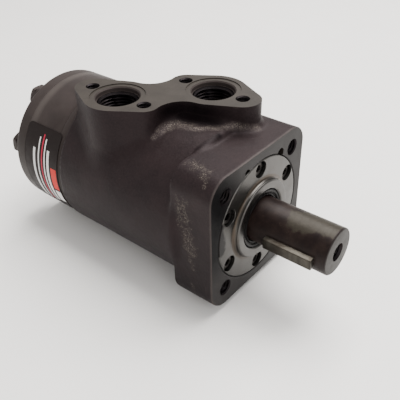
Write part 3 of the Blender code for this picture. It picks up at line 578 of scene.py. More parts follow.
def rear_paint():
    """Paint over the turned rear sections, with painted light on their upper side and a painted light band by
    the rear cover.
    """
    look = Look("rear_paint", Specular_IOR_Level=0.15, Specular_Tint=WARM_SHEEN)
    station, radius, angle = look.polar()
    turned = look.turning(0.35, 2.0, 0.55, station, radius)
    clouds = look.noise(16.0, 4.0)
    fine = look.noise(0.8, 5.0, 0.65)
    base = look.blend(clouds, 0.35, 0.68, (0.0120, 0.0088, 0.0080), (0.0215, 0.0165, 0.0142))
    base = look.blend(fine, 0.66, 0.76, base, (0.11, 0.090, 0.072), 0.5)
    # painted light: the upper side of the rear sections is painted paler, in cloudy patches
    above = look.times(look.spread(angle, math.radians(25), math.radians(60)),
                       look.spread(angle, math.radians(172), math.radians(125)))
    film = look.times(above, look.spread(clouds, 0.25, 0.6, 0.40, 0.75))
    base = look.mix(film, base, (0.038, 0.0305, 0.0295))
    # painted light: a pale band across the top of the gear ring, next to the rear cover
    off_band = look.math("ABSOLUTE", look.math("SUBTRACT", station, PAINTED_LIGHT_STATION * MM))
    painted_light_band = look.times(look.spread(off_band, 4.0 * MM, 1.0 * MM), above)
    painted_light_band = look.times(painted_light_band, look.spread(clouds, 0.25, 0.6, 0.4, 0.9))
    base = look.mix(painted_light_band, base, (0.060, 0.051, 0.047))
    roughness = look.spread(look.total(clouds, fine), 0.7, 1.3, 0.36, 0.56)
    return look.surface(base, roughness, look.total(look.times(turned, 0.8), fine), 0.05, 0.7)


def steel(name, dark, pale, rough, ring=0.25, stains=(0.20, 0.15, 0.10), stained=0.3, grime=None,
          smudge=None, sheen=1.0):
    """Turned steel: rings round the axis, staining, grime near one radius and an oily smudge."""
    look = Look(name, Metallic=1.0, Specular_Tint=(sheen, sheen, sheen, 1.0))
    station, radius, _ = look.polar()
    rings = look.turning(ring, 3.0, 0.6, radius, station)
    clouds = look.noise(9.0, 5.0, 0.6)
    fine = look.noise(0.5, 4.0, 0.6)
    base = look.blend(rings, 0.3, 0.7, dark, pale)
    base = look.blend(clouds, 0.50, 0.75, base, stains, stained)
    if grime:
        away = look.math("ABSOLUTE", look.math("SUBTRACT", radius, grime * MM))
        ragged = look.total(look.spread(away, 1.6 * MM, 0.4 * MM), clouds)
        base = look.blend(ragged, 0.75, 1.35, base, stains, 0.85)
    if smudge:
        oil_and_painted_shade = look.total(look.strip(*smudge), look.times(look.noise(3.0, 4.0), 0.8))
        base = look.blend(oil_and_painted_shade, 0.85, 1.15, base, (0.012, 0.011, 0.011))
    roughness = look.spread(look.total(rings, clouds), 0.7, 1.3, *rough)
    return look.surface(base, roughness, look.total(rings, look.times(fine, 0.3)), 0.02, 0.8)


def shaft_steel():
    """Ground steel under brown oil, wiped paler on its upper side, where the pale patch is also a painted
    highlight, and dull at its end.
    """
    look = Look("shaft_steel", Metallic=0.2)
    station, radius, _ = look.polar()
    rings = look.turning(0.3, 3.0, 0.6, station, radius)
    runs = look.noise(7.0, 5.0, 0.6)
    drops = look.noise(1.6, 4.0, 0.6)
    oil = look.blend(runs, 0.35, 0.70, (0.0075, 0.0039, 0.0038), (0.0190, 0.0114, 0.0092))
    # wear and painted highlight: the upper side towards the end is paler, in a ragged patch
    wear_and_painted_highlight = look.strip((27.0, -1.0, 12.5), (44.0, 2.0, 12.5), 12.0)
    ragged = look.spread(look.total(wear_and_painted_highlight, look.times(runs, 1.4)), 1.08, 1.24)
    base = look.mix(ragged, oil, look.mix(drops, (0.0175, 0.0142, 0.0104), (0.036, 0.0305, 0.0228)))
    base = look.blend(drops, 0.62, 0.72, base, (0.034, 0.024, 0.018), 0.4)
    edge = look.spread(station, (SHAFT_END - 1.1) * MM, (SHAFT_END - 0.9) * MM)
    base = look.mix(edge, base, (0.010, 0.0055, 0.0052))
    end = look.spread(station, (SHAFT_END - 0.35) * MM, (SHAFT_END - 0.25) * MM)
    base = look.mix(end, base, look.mix(drops, (0.0200, 0.0178, 0.0168), (0.041, 0.0375, 0.035)))
    look.set("Specular IOR Level", look.spread(end, 0.0, 1.0, 0.16, 0.06))
    roughness = look.spread(look.total(runs, rings), 0.7, 1.3, 0.34, 0.52)
    return look.surface(base, roughness, look.total(rings, drops), 0.025, 0.8)


def rubber():
    """Oily black seal rubber."""
    look = Look("seal_rubber", Specular_IOR_Level=0.05)
    fine = look.noise(0.8, 5.0, 0.6)
    colour = look.mix(fine, (0.0025, 0.0023, 0.0024), (0.006, 0.0055, 0.0055))
    roughness = look.spread(fine, 0.35, 0.65, 0.16, 0.32)
    return look.surface(colour, roughness, fine, 0.03, 0.6)


def bronze():
    look = Look("bronze", Metallic=1.0)
    fine = look.noise(1.2, 5.0, 0.6)
    colour = look.mix(fine, (0.42, 0.26, 0.11), (0.62, 0.42, 0.19))
    roughness = look.spread(fine, 0.3, 0.7, 0.25, 0.45)
    return look.surface(colour, roughness, fine, 0.03, 0.5)


# The label's plain bands: stations in millimetres behind its front edge, angles in degrees
LABEL_BANDS = (
    ((7.4, 9.4), (158, 206), (0.72, 0.72, 0.71)),
    ((11.0, 12.0), (150, 208), (0.72, 0.72, 0.71)),
    ((13.4, 14.4), (147, 208), (0.42, 0.020, 0.050)),
    ((16.4, 17.4), (150, 208), (0.72, 0.72, 0.71)),
    ((20.0, 22.0), (160, 208), (0.66, 0.66, 0.65)),
    ((1.0, 5.8), (171, 190), (0.60, 0.035, 0.028)),
    ((1.0, 5.8), (192, 204), (0.74, 0.74, 0.73)),
)


def label_film():
    """Satin black film with plain printed bands and no lettering."""
    look = Look("label_film", Specular_IOR_Level=0.12, Specular_Tint=WARM_SHEEN)
    station, _, angle = look.polar()
    behind = look.math("SUBTRACT", LABEL[0] * MM, station)
    degrees = look.math("MODULO", look.total(look.times(angle, 180 / math.pi), 360.0), 360.0)
    fine = look.noise(0.7, 4.0, 0.6)
    colour = look.mix(fine, (0.0068, 0.0048, 0.0047), (0.0120, 0.0086, 0.0082))
    for (near, far), (low, high), ink in LABEL_BANDS:
        inside = look.times(look.between(behind, near * MM, far * MM), look.between(degrees, low, high))
        worn = look.times(inside, look.spread(look.noise(0.9, 4.0, 0.7), 0.24, 0.34))
        colour = look.mix(worn, colour, ink)
    roughness = look.spread(look.noise(5.0, 4.0), 0.3, 0.7, 0.38, 0.56)
    return look.surface(colour, roughness, fine, 0.015, 0.5)


CAST = cast_paint()
MACHINED = machined_paint()
FRONT_FACE = front_face_paint()
REAR_PAINT = rear_paint()
THREAD_STEEL = steel("thread_steel", (0.008, 0.007, 0.008), (0.023, 0.020, 0.021), (0.32, 0.5),
                     stains=(0.024, 0.017, 0.012), sheen=0.4)
COVER_STEEL = steel("cover_steel", (0.047, 0.045, 0.043), (0.093, 0.090, 0.086), (0.28, 0.44),
                    stains=(0.055, 0.043, 0.033), stained=0.30, grime=23.4,
                    smudge=((0.0, -34.0, 12.0), (0.0, -32.5, -2.0), 6.5))
SCREW_STEEL = steel("screw_steel", (0.040, 0.037, 0.036), (0.085, 0.079, 0.076), (0.3, 0.5))
KEY_STEEL = steel("key_steel", (0.035, 0.0315, 0.0265), (0.075, 0.068, 0.0575), (0.36, 0.55),
                  ring=3.0, stains=(0.018, 0.013, 0.010), stained=0.85)
GROUND_STEEL = steel("ground_steel", (0.48, 0.48, 0.48), (0.62, 0.62, 0.62), (0.18, 0.32))
SHAFT_STEEL = shaft_steel()
RUBBER = rubber()
BRONZE = bronze()
LABEL_FILM = label_film()


# ---------------------------------------------------------------- the casting
def round_union(a, b, radius):
    """The union of two distance fields with a hollow fillet of that radius where they meet."""
    gap = np.hypot(np.maximum(radius - a, 0.0), np.maximum(radius - b, 0.0))
    return np.maximum(radius, np.minimum(a, b)) - gap


def rounded_box(offsets, rounding):
    """Distance to a shape that keeps every offset below zero, with its outer edges rounded."""
    grown = [np.maximum(offset + rounding, 0.0) for offset in offsets]
    inner = np.minimum(np.max([offset + rounding for offset in offsets], axis=0), 0.0)
    return np.sqrt(sum(part * part for part in grown)) + inner - rounding


def arc(centre, radius, first, last):
    turn = np.radians(np.linspace(first, last, 40, endpoint=False))
    return np.stack([centre[0] + radius * np.cos(turn), centre[1] + radius * np.sin(turn)], axis=1)


def boss_outline():
    """The port boss seen from above: tangent arcs on the near side, turned half round for the far."""
    port_a, port_b = (np.array(port) for port in PORTS)
    end_lean = math.degrees(math.acos((PORT_WALL - OUTER_END) / BOLT_SPREAD))
    inner_lean = math.degrees(math.acos((PORT_WALL - INNER_END) / BOLT_SPREAD))
    inner = port_a + (BOLT_SPREAD, 0.0)
    run = port_b - inner
    length = np.linalg.norm(run)
    along = (length**2 + (INNER_END + WAIST) ** 2 - (PORT_WALL + WAIST) ** 2) / (2 * length)
    out = math.sqrt((INNER_END + WAIST) ** 2 - along**2)
    waist = inner + (along * run + out * np.array((run[1], -run[0]))) / length
    to_inner, to_wall = (math.degrees(math.atan2(*(end - waist)[::-1])) % 360 for end in (inner, port_b))
    near = np.concatenate([
        arc(port_a, PORT_WALL, 180 + end_lean, 360 - inner_lean),
        arc(inner, INNER_END, 360 - inner_lean, 180 + to_inner),
        arc(waist, WAIST, to_inner, to_wall),
        arc(port_b, PORT_WALL, 180 + to_wall, 360 - end_lean),
        arc(port_b + (BOLT_SPREAD, 0.0), OUTER_END, -end_lean, end_lean),
    ])
    return np.concatenate([near, port_a + port_b - near])


PLAN_LOW = (-120.0, -52.0)
PLAN_HIGH = (8.0, 52.0)
PLAN_STEP = 0.5


def boss_plan_grid():
    """Distance to the boss's outline on a grid of (x, y), below zero inside it."""
    xs, ys = (np.arange(low, high + PLAN_STEP, PLAN_STEP) for low, high in zip(PLAN_LOW, PLAN_HIGH))
    x, y = np.meshgrid(xs, ys, indexing="ij")
    nearest = np.full(x.shape, 1e9)
    inside = np.zeros(x.shape, bool)
    outline = boss_outline()
    for start, end in zip(outline, np.roll(outline, -1, axis=0)):
        run = end - start
        share = ((x - start[0]) * run[0] + (y - start[1]) * run[1]) / max(run @ run, 1e-9)
        share = np.clip(share, 0.0, 1.0)
        away = np.hypot(x - start[0] - share * run[0], y - start[1] - share * run[1])
        nearest = np.minimum(nearest, away)
        if start[1] != end[1]:
            crossing = start[0] + (y - start[1]) * run[0] / run[1]
            inside ^= ((start[1] > y) != (end[1] > y)) & (x < crossing)
    return np.where(inside, -nearest, nearest)


BOSS_PLAN = boss_plan_grid()


def boss_plan(x, y):
    """Plan distance to the port boss, read between the grid's points."""
    along = np.clip((x - PLAN_LOW[0]) / PLAN_STEP, 0.0, BOSS_PLAN.shape[0] - 1.001)
    across = np.clip((y - PLAN_LOW[1]) / PLAN_STEP, 0.0, BOSS_PLAN.shape[1] - 1.001)
    i = along.astype(int)
    j = across.astype(int)
    s = along - i
    t = across - j
    near = BOSS_PLAN[i, j] * (1 - t) + BOSS_PLAN[i, j + 1] * t
    far = BOSS_PLAN[i + 1, j] * (1 - t) + BOSS_PLAN[i + 1, j + 1] * t
    return near * (1 - s) + far * s


def casting_distance(points):
    """The rough casting: barrel, flange, port boss and a gate's stub, on a slightly uneven skin."""
    x, y, z = points[..., 0], points[..., 1], points[..., 2]
    reach = np.hypot(y, z)
    barrel = rounded_box((reach - BARREL_RADIUS, x - BARREL_FRONT), BARREL_SHOULDER)
    chamfer = (reach - BARREL_RADIUS + HOUSING_REAR - x + CHAMFER) / math.sqrt(2)
    barrel = np.maximum(np.maximum(barrel, chamfer), HOUSING_REAR - 2.0 - x)
    square = rounded_box((np.abs(y) - FLANGE_HALF, np.abs(z) - FLANGE_HALF), FLANGE_CORNER)
    thickness = np.abs(x + FLANGE_DEPTH / 2 - STOCK) - FLANGE_DEPTH / 2 - STOCK
    flange = rounded_box((square, thickness), EDGE_ROUNDING)
    plan = boss_plan(x, y)
    boss = np.maximum(plan, np.abs(z - BOSS_MIDDLE) - BOSS_HALF)
    body = round_union(barrel, flange, FLANGE_FILLET)
    body = round_union(body, boss, FOOT_FILLET)
    gate_x, gate_y, gate_z = GATE_PLACE
    gate = np.hypot(np.hypot(x - gate_x, (y - gate_y) * 0.8), z - gate_z) - GATE_RADIUS
    body = round_union(body, gate, 2.0)
    waves = np.sin(x / 6.1 + 0.7 * np.sin(y / 9.0)) * np.sin(y / 7.3 + 1.1) * np.sin(z / 6.7 + 2.0)
    swell = np.sin(x / 17.0 + 0.4) * np.sin(y / 13.0 + z / 19.0)
    return body + 0.10 * waves + 0.12 * swell


def surface_net(distance, low, high, step):
    """Quads over the zero level of a distance field, then drawn onto it exactly."""
    axes = [np.arange(a, b + step, step) for a, b in zip(low, high)]
    grid = np.stack(np.meshgrid(*axes, indexing="ij"), axis=-1)
    values = distance(grid)
    cells = tuple(count - 1 for count in values.shape)
    total_place = np.zeros(cells + (3,))
    crossings = np.zeros(cells)
    for axis in range(3):
        others = [other for other in range(3) if other != axis]
        for first in (0, 1):
            for second in (0, 1):
                offset = [0, 0, 0]
                offset[others[0]] = first
                offset[others[1]] = second
                near = values[tuple(slice(o, o + c) for o, c in zip(offset, cells))]
                offset[axis] = 1
                far = values[tuple(slice(o, o + c) for o, c in zip(offset, cells))]
                crossed = (near < 0) != (far < 0)
                share = np.where(crossed, near / np.where(crossed, near - far, 1.0), 0.0)
                place = np.zeros(cells + (3,))
                place[..., axis] = share
                place[..., others[0]] = first
                place[..., others[1]] = second
                total_place += place * crossed[..., None]
                crossings += crossed
    active = crossings > 0
    numbers = np.full(cells, -1)
    numbers[active] = np.arange(active.sum())
    points = np.array(low) + step * (np.argwhere(active) + total_place[active] / crossings[active][:, None])
    faces = []
    for axis in range(3):
        u, v = (axis + 1) % 3, (axis + 2) % 3
        near = np.take(values, range(values.shape[axis] - 1), axis=axis)
        far = np.take(values, range(1, values.shape[axis]), axis=axis)
        edges = np.argwhere((near < 0) != (far < 0))
        corners = []
        for back_u, back_v in ((1, 1), (0, 1), (0, 0), (1, 0)):
            cell = edges.copy()
            cell[:, u] -= back_u
            cell[:, v] -= back_v
            corners.append(numbers[tuple(cell.T)])
        quads = np.stack(corners, axis=1)
        flip = ~(near[tuple(edges.T)] < 0)
        quads[flip] = quads[flip][:, ::-1]
        faces.append(quads)
    for _ in range(4):
        points = points - pull(distance, points, step)
    return points, [tuple(face) for face in np.concatenate(faces).tolist()]


def pull(distance, points, step):
    """How far each point is from the zero level, along the field's slope."""
    nudge = 0.05
    slopes = []
    for axis in range(3):
        shift = np.zeros(3)
        shift[axis] = nudge
        slopes.append((distance(points + shift) - distance(points - shift)) / (2 * nudge))
    slope = np.stack(slopes, axis=1)
    steep = np.maximum((slope * slope).sum(axis=1), 0.2)
    move = slope * (distance(points) / steep)[:, None]
    return np.clip(move, -0.4 * step, 0.4 * step)


def port_spot_face():
    """The shallow face turned round a port, cut down from above."""
    return rod(PORT_TOP + 2.0, PORT_TOP - 0.5, 15.05, 128)


def port_seat():
    """A port's chamfer and plain seat, below its spot face."""
    top = PORT_TOP
    return lathe([(top + 1.0, 0.0), (top + 1.0, 13.8), (top - 1.2, 11.9), (top - 3.0, 11.7),
                  (top - 3.0, 0.0)], 128)


def port_thread():
    """A port's threaded bore, from the floor of its seat."""
    top = PORT_TOP
    mouth = [(top - 2.0, 0.0), (top - 2.0, 11.3), (top - 3.3, 11.3), (top - 3.8, 10.9)]
    return threaded_hole(mouth, top - 4.0, top - 16.5, 9.7, 1.2, 1.81, 96)


def small_thread(top, depth, minor, cut, pitch):
    """A tapped hole with a small countersink."""
    mouth = [(top + 2.0, 0.0), (top + 2.0, minor + cut + 2.4), (top - 0.4, minor + cut * 0.5)]
    return threaded_hole(mouth, top - 0.6, top - depth, minor, cut, pitch, SMALL_ROUND)


def housing():
    """The casting, then its machined faces, then its bores and threads."""
    low = (HOUSING_REAR - 5.0, -48.0, -48.0)
    high = (4.0, 48.0, 61.0)
    made = solid("casting", surface_net(casting_distance, low, high, VOXEL), CAST)
    carve(made, slab((-130.0, -60.0, PORT_TOP), (20.0, 60.0, 80.0)), MACHINED)
    faces = [slab((0.0, -60.0, -60.0), (20.0, 60.0, 60.0)),
             slab((-140.0, -60.0, -60.0), (HOUSING_REAR, 60.0, 70.0))]
    carve(made, combine(faces), FRONT_FACE)
    bore = [(3.0, 0.0), (3.0, COVER_SEAT + 3.4), (-0.4, COVER_SEAT), (-12.3, COVER_SEAT), (-12.3, 24.5),
            (-18.2, 24.5), (-18.2, VALVE_BORE), (-112.0, VALVE_BORE), (-112.0, 0.0)]
    bolt_hole = rod(REAR_BOLT_FLOOR, HOUSING_REAR - 2.0, REAR_BOLT_BORE, 32)
    carve(made, combine([lathe(bore)] + [moved(bolt_hole, place) for place in REAR_BOLT_PLACES]), FRONT_FACE)
    ports = [Matrix.Translation((port_x, port_y, 0.0)) @ UPWARD for port_x, port_y in PORTS]
    carve(made, combine([moved(port_spot_face(), place) for place in ports]), MACHINED)
    carve(made, combine([moved(port_seat(), place) for place in ports]), REAR_PAINT)
    threads = [moved(port_thread(), place) for place in ports]
    for degrees in (45, 135, 225, 315):
        threads.append(moved(small_thread(0.0, 19.0, 3.75, 0.75, 1.5), turned_to(degrees, FLANGE_HOLE_REACH)))
    for port_x, port_y in PORTS:
        for side in (-1, 1):
            place = Matrix.Translation((port_x + side * BOLT_SPREAD, port_y, 0.0)) @ UPWARD
            threads.append(moved(small_thread(PORT_TOP, 15.0, 3.05, 0.6, 1.25), place))
    carve(made, combine(threads), THREAD_STEEL)
    extras = [moved(rod(3.0, -3.0, 2.9, 40), turned_to(60, 35.6)),
              moved(rod(3.0, -3.0, 2.0, 40), turned_to(109, 35.5))]
    for port_x, port_y in PORTS:
        lean = Matrix.Rotation(math.copysign(0.35, -port_y), 4, "X")
        place = Matrix.Translation((port_x, port_y * 0.33, 0.0)) @ lean @ UPWARD
        extras.append(moved(rod(38.5, 15.5, 4.5, 40), place))
    drain_x = sum(stations("drain_plug")) / 2
    drain = lathe([(50.0, 0.0), (50.0, 10.5), (39.0, 10.5), (39.0, 6.6), (28.0, 6.6), (28.0, 0.0)], 64)
    extras.append(moved(drain, Matrix.Translation((drain_x, 0.0, 0.0)) @ SIDEWAYS))
    carve(made, combine(extras), MACHINED)
    return finished(made, "housing")


# ---------------------------------------------------------------- front end
def front_cover():
    pilot, rear = stations("front_cover")
    edge = COVER_RADIUS
    profile = [(pilot, PILOT_RADIUS - 0.6), (pilot - 0.6, PILOT_RADIUS), (1.6, PILOT_RADIUS), (0.75, 22.5),
               (0.2, 23.2), (0.0, 24.2), (0.0, edge - 0.5), (-0.5, edge), (-8.6, edge), (-8.6, edge - 1.5),
               (-10.6, edge - 1.5), (-10.6, edge), (rear, edge), (rear, 14.6), (-9.5, 14.6), (-9.5, 17.0),
               (pilot - 0.8, 17.0), (pilot, 17.7)]
    made = solid("cover", turned_ring(profile, 0.2), COVER_STEEL)
    recess = lathe([(2.0, 0.0), (2.0, 6.9), (-0.15, 4.55), (-7.1, 4.5), (-7.1, 2.8), (-14.0, 2.8),
                    (-14.0, 0.0)], 64)
    carve(made, combine([moved(recess, place) for place in SCREW_PLACES]), COVER_STEEL)
    return finished(made, "front_cover")


def cover_screws():
    """Socket-head cap screws with a hexagon socket and a knurled head."""
    rear = -6.8
    front = rear + 5.0
    knurl = 0.07 * (np.arange(96) % 2)
    profile = [(front, 0.0), (front, 3.7), (front - 0.1, 3.95), (front - 0.45, 4.05 - knurl),
               (rear + 0.3, 4.05 - knurl), (rear, 3.9), (rear, 2.5), (-21.5, 2.5), (-22.0, 2.1), (-22.0, 0.0)]
    made = solid("screw", lathe(profile, 96), SCREW_STEEL)
    socket = lathe([(front + 1.0, 0.0), (front + 1.0, 2.3), (front - 2.6, 2.3), (front - 3.4, 0.0)], 6)
    carve(made, socket, SCREW_STEEL)
    shape = shape_of(made)
    for index, place in enumerate(SCREW_PLACES):
        spin = Matrix.Rotation(math.radians(17.0 * index), 4, "X")
        screw = solid("screw", moved(shape, place @ spin), SCREW_STEEL)
        finished(screw, "cover_screw_%d" % (index + 1))


def dust_seal():
    """A wiper seal with a raised outer bead, a valley and a lip that runs on the shaft."""
    front, _ = stations("dust_seal")
    profile = [(front - 1.6, 13.05), (front - 0.5, 13.25), (front - 0.15, 13.9), (front - 0.9, 14.35),
               (front - 1.1, 14.9), (front - 0.2, 15.3), (front, 15.8), (front, 16.4), (front - 0.4, 16.75),
               (-1.6, 16.75), (-1.6, 14.0)]
    made = solid("seal", turned_ring(profile, 0.25), RUBBER)
    return finished(made, "dust_seal", smooth_angle=60)


def output_shaft():
    """The whole shaft: plain end with its tap, journal, and spool with grooves, slots and bore."""
    end = SHAFT_END
    mouth = [(end + 1.0, 0.0), (end + 1.0, 5.9), (end - 0.9, 4.0)]
    profile = [(end, 0.0), (end, SHAFT_RADIUS - 0.6), (end - 0.6, SHAFT_RADIUS), (-1.6, SHAFT_RADIUS),
               (-2.2, JOURNAL_RADIUS), (-18.5, JOURNAL_RADIUS), (-18.5, SPOOL_RADIUS - 0.6),
               (-19.1, SPOOL_RADIUS)]
    for centre in (PORTS[1][0], PORTS[0][0]):
        profile += [(centre + 6.0, SPOOL_RADIUS), (centre + 6.0, 16.4), (centre - 6.0, 16.4),
                    (centre - 6.0, SPOOL_RADIUS)]
    profile += [(-103.4, SPOOL_RADIUS), (-104.0, SPOOL_RADIUS - 0.6), (-104.0, 13.2), (-76.0, 13.2),
                (-76.0, 12.4), (-60.0, 12.4), (-57.0, 0.0)]
    made = solid("shaft", lathe(softened(profile, 0.15), ROUND), SHAFT_STEEL)
    tap = threaded_hole(mouth, end - 1.2, end - 20.5, 3.4, 0.6, 1.25, SMALL_ROUND)
    carve(made, tap, THREAD_STEEL)
    middle = (PORTS[0][0] + PORTS[1][0]) / 2
    slots = []
    for index in range(12):
        groove = PORTS[0][0] if index % 2 else PORTS[1][0]
        towards = math.copysign(1.0, middle - groove)
        ends = sorted((groove + towards * 5.0, middle + towards * 3.0))
        slot = slab((ends[0], 16.7, -2.0), (ends[1], 21.0, 2.0))
        slots.append(moved(slot, Matrix.Rotation(math.radians(30 * index + 15), 4, "X")))
    carve(made, combine(slots), SHAFT_STEEL)
    return finished(made, "output_shaft", "shaft")


def shaft_key():
    """A parallel key with broken edges, let into the shaft at its angle."""
    block = slab((KEY[1], KEY_FLOOR, -KEY_HALF), (KEY[0], KEY_TOP, KEY_HALF))
    made = solid("key", moved(block, Matrix.Rotation(math.radians(KEY_ANGLE), 4, "X")), KEY_STEEL)
    bevel = made.modifiers.new("edges", "BEVEL")
    bevel.width = 0.45
    bevel.segments = 3
    return finished(applied(made), "shaft_key", "shaft")


# ---------------------------------------------------------------- gear set and rear end
def bolt_holes(front, rear):
    hole = rod(front + 1.0, rear - 1.0, REAR_BOLT_BORE)
    return combine([moved(hole, place) for place in REAR_BOLT_PLACES])


def channel_plate():
    front, rear = PLATE
    front += JOINT
    made = solid("plate", turned_ring(tube(front, rear, 15.0, REAR_RADIUS), 0.15), REAR_PAINT)
    carve(made, bolt_holes(front, rear), REAR_PAINT)
    return finished(made, "channel_plate")


def ring_pocket(front, rear):
    """The gear ring's inside: seven round teeth standing in from the root circle."""
    outline = []
    count = TOOTH_COUNT * 24
    for step in range(count):
        turn = 360.0 * (step + 0.5) / count
        half_pitch = 180.0 / TOOTH_COUNT
        from_tooth = math.radians((turn + half_pitch) % (2 * half_pitch) - half_pitch)
        offset = TOOTH_CIRCLE * math.sin(from_tooth)
        radius = RING_ROOT
        if abs(offset) < TOOTH_RADIUS:
            radius = min(radius, TOOTH_CIRCLE * math.cos(from_tooth) - math.sqrt(TOOTH_RADIUS**2 - offset**2))
        angle = math.radians(FIRST_TOOTH + turn)
        outline.append((radius * math.cos(angle), radius * math.sin(angle)))
    return loft([np.array([[x, y, z] for y, z in outline]) for x in (front + 1.0, rear - 1.0)])


def gerotor_ring():
    front, rear = RING
    front += JOINT
    made = solid("ring", lathe(softened(tube(front, rear, 0.0, REAR_RADIUS), 0.15)), REAR_PAINT)
    carve(made, combine([ring_pocket(front, rear), bolt_holes(front, rear)]), GROUND_STEEL)
    return finished(made, "gerotor_ring")


def end_cover():
    front, rear = REAR_COVER
    front += JOINT
    profile = [(front, 0.0), (front, REAR_RADIUS), (rear + ROUND_OVER, REAR_RADIUS)]
    for step in range(1, 9):
        angle = math.radians(90 * step / 8)
        profile.append((rear + ROUND_OVER * (1 - math.sin(angle)),
                        REAR_RADIUS - ROUND_OVER * (1 - math.cos(angle))))
    profile.append((rear, 0.0))
    made = solid("rear_cover", lathe(profile), REAR_PAINT)
    carve(made, bolt_holes(front, rear), REAR_PAINT)
    return finished(made, "end_cover")


def hexagon_head(front, rear, corner):
    """A bolt head with its rear corners chamfered and a plain bearing face."""
    count = 72
    turn = np.arange(count) * 2 * math.pi / count
    flat = corner * math.cos(math.pi / 6)
    edge = flat / np.cos((turn + math.pi / 6) % (math.pi / 3) - math.pi / 6)
    edge = np.minimum(edge, corner * 0.992)
    drop = (edge - flat * 0.96) * math.tan(math.radians(30))
    rings = [circle(front, flat * 0.95, count), circle(front - 0.4, flat * 0.97, count),
             circle(front - 0.4, edge, count), circle(0.0, edge, count), circle(rear, flat * 0.96, count),
             circle(rear, 0.0, count)]
    rings[3][:, 0] = rear + drop
    return rings


def rear_bolts():
    washer_front, washer_rear = stations("bolt_washer_1")
    tip, head_rear = stations("rear_bolt_1")
    shank = [circle(tip, 0.0, 72), circle(tip, 3.3, 72), circle(tip - 0.6, 3.9, 72),
             circle(washer_rear - 0.3, 3.9, 72)]
    bolt = loft(shank + hexagon_head(washer_rear - 0.3, head_rear, HEAD_CORNER))
    washer = turned_ring(tube(washer_front, washer_rear, 4.2, 7.2), 0.3, 72)
    for index, out in enumerate(REAR_BOLT_PLACES):
        spin = Matrix.Rotation(math.radians(23.0 * index), 4, "X")
        name = "rear_bolt_%d" % (index + 1)
        finished(solid("bolt", moved(bolt, out @ spin), REAR_PAINT), name)
        name = "bolt_washer_%d" % (index + 1)
        finished(solid("washer", moved(washer, out), REAR_PAINT), name)


# ---------------------------------------------------------------- drain plug and label
def drain_plug():
    low, high = motor_box("drain_plug")
    washer_low, washer_high = motor_box("drain_washer")
    out = Matrix.Translation(((low.x + high.x) / 2, 0.0, 0.0)) @ SIDEWAYS
    head_low = washer_high.y + 0.3
    profile = [(high.y, 0.0), (high.y, 8.5), (high.y - 0.5, 9.0), (head_low, 9.0), (head_low, 6.3),
               (low.y, 6.3), (low.y, 0.0)]
    made = solid("plug", lathe(softened(profile, 0.2), 96), SCREW_STEEL)
    socket = lathe([(high.y + 1.0, 0.0), (high.y + 1.0, 3.5), (high.y - 4.5, 3.5), (high.y - 5.6, 0.0)], 6)
    carve(made, socket, SCREW_STEEL)
    plug = solid("plug", moved(shape_of(made), out), SCREW_STEEL)
    finished(plug, "drain_plug")
    ring = turned_ring(tube(washer_high.y, washer_low.y, 6.9, 9.2), 0.25, 96)
    finished(solid("plug_washer", moved(ring, out), BRONZE), "drain_washer")


def label():
    """A thin film with round corners, wrapped on the gear set's near side."""
    front, rear = LABEL
    radius, thickness, corner = LABEL_RADIUS, LABEL_THICKNESS, LABEL_CORNER
    start, stop = (math.radians(angle) for angle in LABEL_ANGLES)
    half_x = (front - rear) / 2
    half_run = (stop - start) * radius / 2
    columns, rows = 90, 24
    points = []
    for outward in (radius + thickness, radius):
        for column in range(columns + 1):
            run = half_run * (2 * column / columns - 1)
            tuck = max(0.0, abs(run) - half_run + corner)
            reach = half_x - corner + math.sqrt(max(corner**2 - tuck**2, 0.01))
            for row in range(rows + 1):
                x = (front + rear) / 2 + reach * (2 * row / rows - 1)
                angle = (start + stop) / 2 + run / radius
                points.append((x, outward * math.cos(angle), outward * math.sin(angle)))
    layer = (columns + 1) * (rows + 1)
    faces = []

    def at(column, row, side):
        return side * layer + column * (rows + 1) + row

    for column in range(columns):
        for row in range(rows):
            square = [(column, row), (column + 1, row), (column + 1, row + 1), (column, row + 1)]
            faces.append(tuple(at(c, r, 0) for c, r in square))
            faces.append(tuple(at(c, r, 1) for c, r in reversed(square)))
    border = [(c, 0) for c in range(columns)] + [(columns, r) for r in range(rows)]
    border += [(c, rows) for c in range(columns, 0, -1)] + [(0, r) for r in range(rows, 0, -1)]
    for index, (c, r) in enumerate(border):
        next_c, next_r = border[(index + 1) % len(border)]
        faces.append((at(next_c, next_r, 0), at(c, r, 0), at(c, r, 1), at(next_c, next_r, 1)))
    return finished(solid("film", (np.array(points), faces), LABEL_FILM), "label")


# ---------------------------------------------------------------- CAD nodes that stay
STAYING = (
    (RUBBER, ("cover_o_ring", "shaft_seal", "housing_seal", "plate_seal", "end_cover_seal")),
    (GROUND_STEEL, ("thrust_race_front", "thrust_race_rear", "drive_link", "link_spacer", "rotor")),
    (BRONZE, ("needle_cage",)),
)


def finish_staying_nodes():
    for material, nodes in STAYING:
        for node in nodes:
            for slot in frame["nodes"][node].material_slots:
                slot.material = material


# ---------------------------------------------------------------- stage, light and camera
FLOOR_HALF = 2.5
FLOOR_GAP = 0.0003
LIGHT_TARGET = (0.0, 0.0, 0.05)
CAMERA_ANGLES = (40.242, 35.671, -1.615)
CAMERA_PLACE = (130.33, -201.91, 183.21)
CAMERA_LENS = 50.94


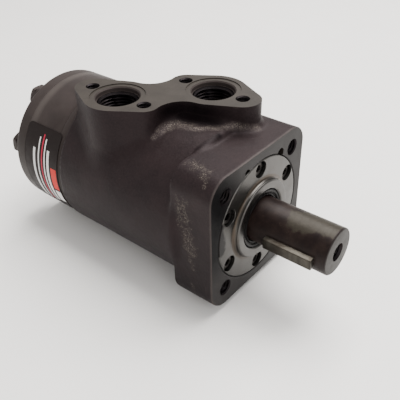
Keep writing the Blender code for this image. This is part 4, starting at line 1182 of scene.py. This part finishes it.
def stage():
    look = Look("floor_paint", Roughness=0.55)
    clouds = look.noise(60.0, 3.0)
    look.set("Base Color", look.mix(clouds, (0.875, 0.865, 0.85), (0.92, 0.91, 0.895)))
    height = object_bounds()[0].z - FLOOR_GAP
    square = ((-1, -1), (1, -1), (1, 1), (-1, 1))
    corners = np.array([(FLOOR_HALF * x, FLOOR_HALF * y, height) for x, y in square])
    solid("floor", (corners, [(0, 1, 2, 3)]), look.material)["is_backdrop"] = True


def area_light(name, place, size, power, colour=(1.0, 1.0, 1.0)):
    data = bpy.data.lights.new(name, "AREA")
    data.size = size
    data.energy = power
    data.color = colour
    light = added(name, data)
    light.location = place
    light.rotation_euler = (Vector(LIGHT_TARGET) - Vector(place)).to_track_quat("-Z", "Y").to_euler()


def studio():
    world = bpy.data.worlds.new("studio")
    world.use_nodes = True
    backdrop = world.node_tree.nodes["Background"]
    backdrop.inputs["Color"].default_value = (1.0, 0.975, 0.95, 1.0)
    backdrop.inputs["Strength"].default_value = 0.77
    bpy.context.scene.world = world
    area_light("overhead", (0.05, 0.45, 1.1), 1.0, 38.0, (1.0, 0.98, 0.95))
    area_light("front_right", (0.9, -0.25, 0.55), 0.6, 3.5)
    area_light("left_fill", (-0.8, -0.7, 0.5), 0.8, 1.0)


def camera():
    """Looks down on the motor's near front quarter."""
    azimuth, elevation, roll = (math.radians(angle) for angle in CAMERA_ANGLES)
    right = Vector((math.cos(azimuth), math.sin(azimuth), 0.0))
    back = Vector((math.sin(azimuth) * math.cos(elevation), -math.cos(azimuth) * math.cos(elevation),
                   math.sin(elevation)))
    up = back.cross(right)
    tilted_right = right * math.cos(roll) + up * math.sin(roll)
    tilted_up = up * math.cos(roll) - right * math.sin(roll)
    data = bpy.data.cameras.new("camera")
    data.lens = CAMERA_LENS
    data.clip_start = 0.01
    made = added("camera", data)
    turn = Matrix((tilted_right, tilted_up, back)).transposed()
    made.matrix_world = Matrix.Translation(TO_ROW @ Vector(CAMERA_PLACE)) @ turn.to_4x4()
    bpy.context.scene.camera = made


camera()
studio()
housing()
front_cover()
cover_screws()
dust_seal()
output_shaft()
shaft_key()
channel_plate()
gerotor_ring()
end_cover()
rear_bolts()
drain_plug()
label()
finish_staying_nodes()
stage()
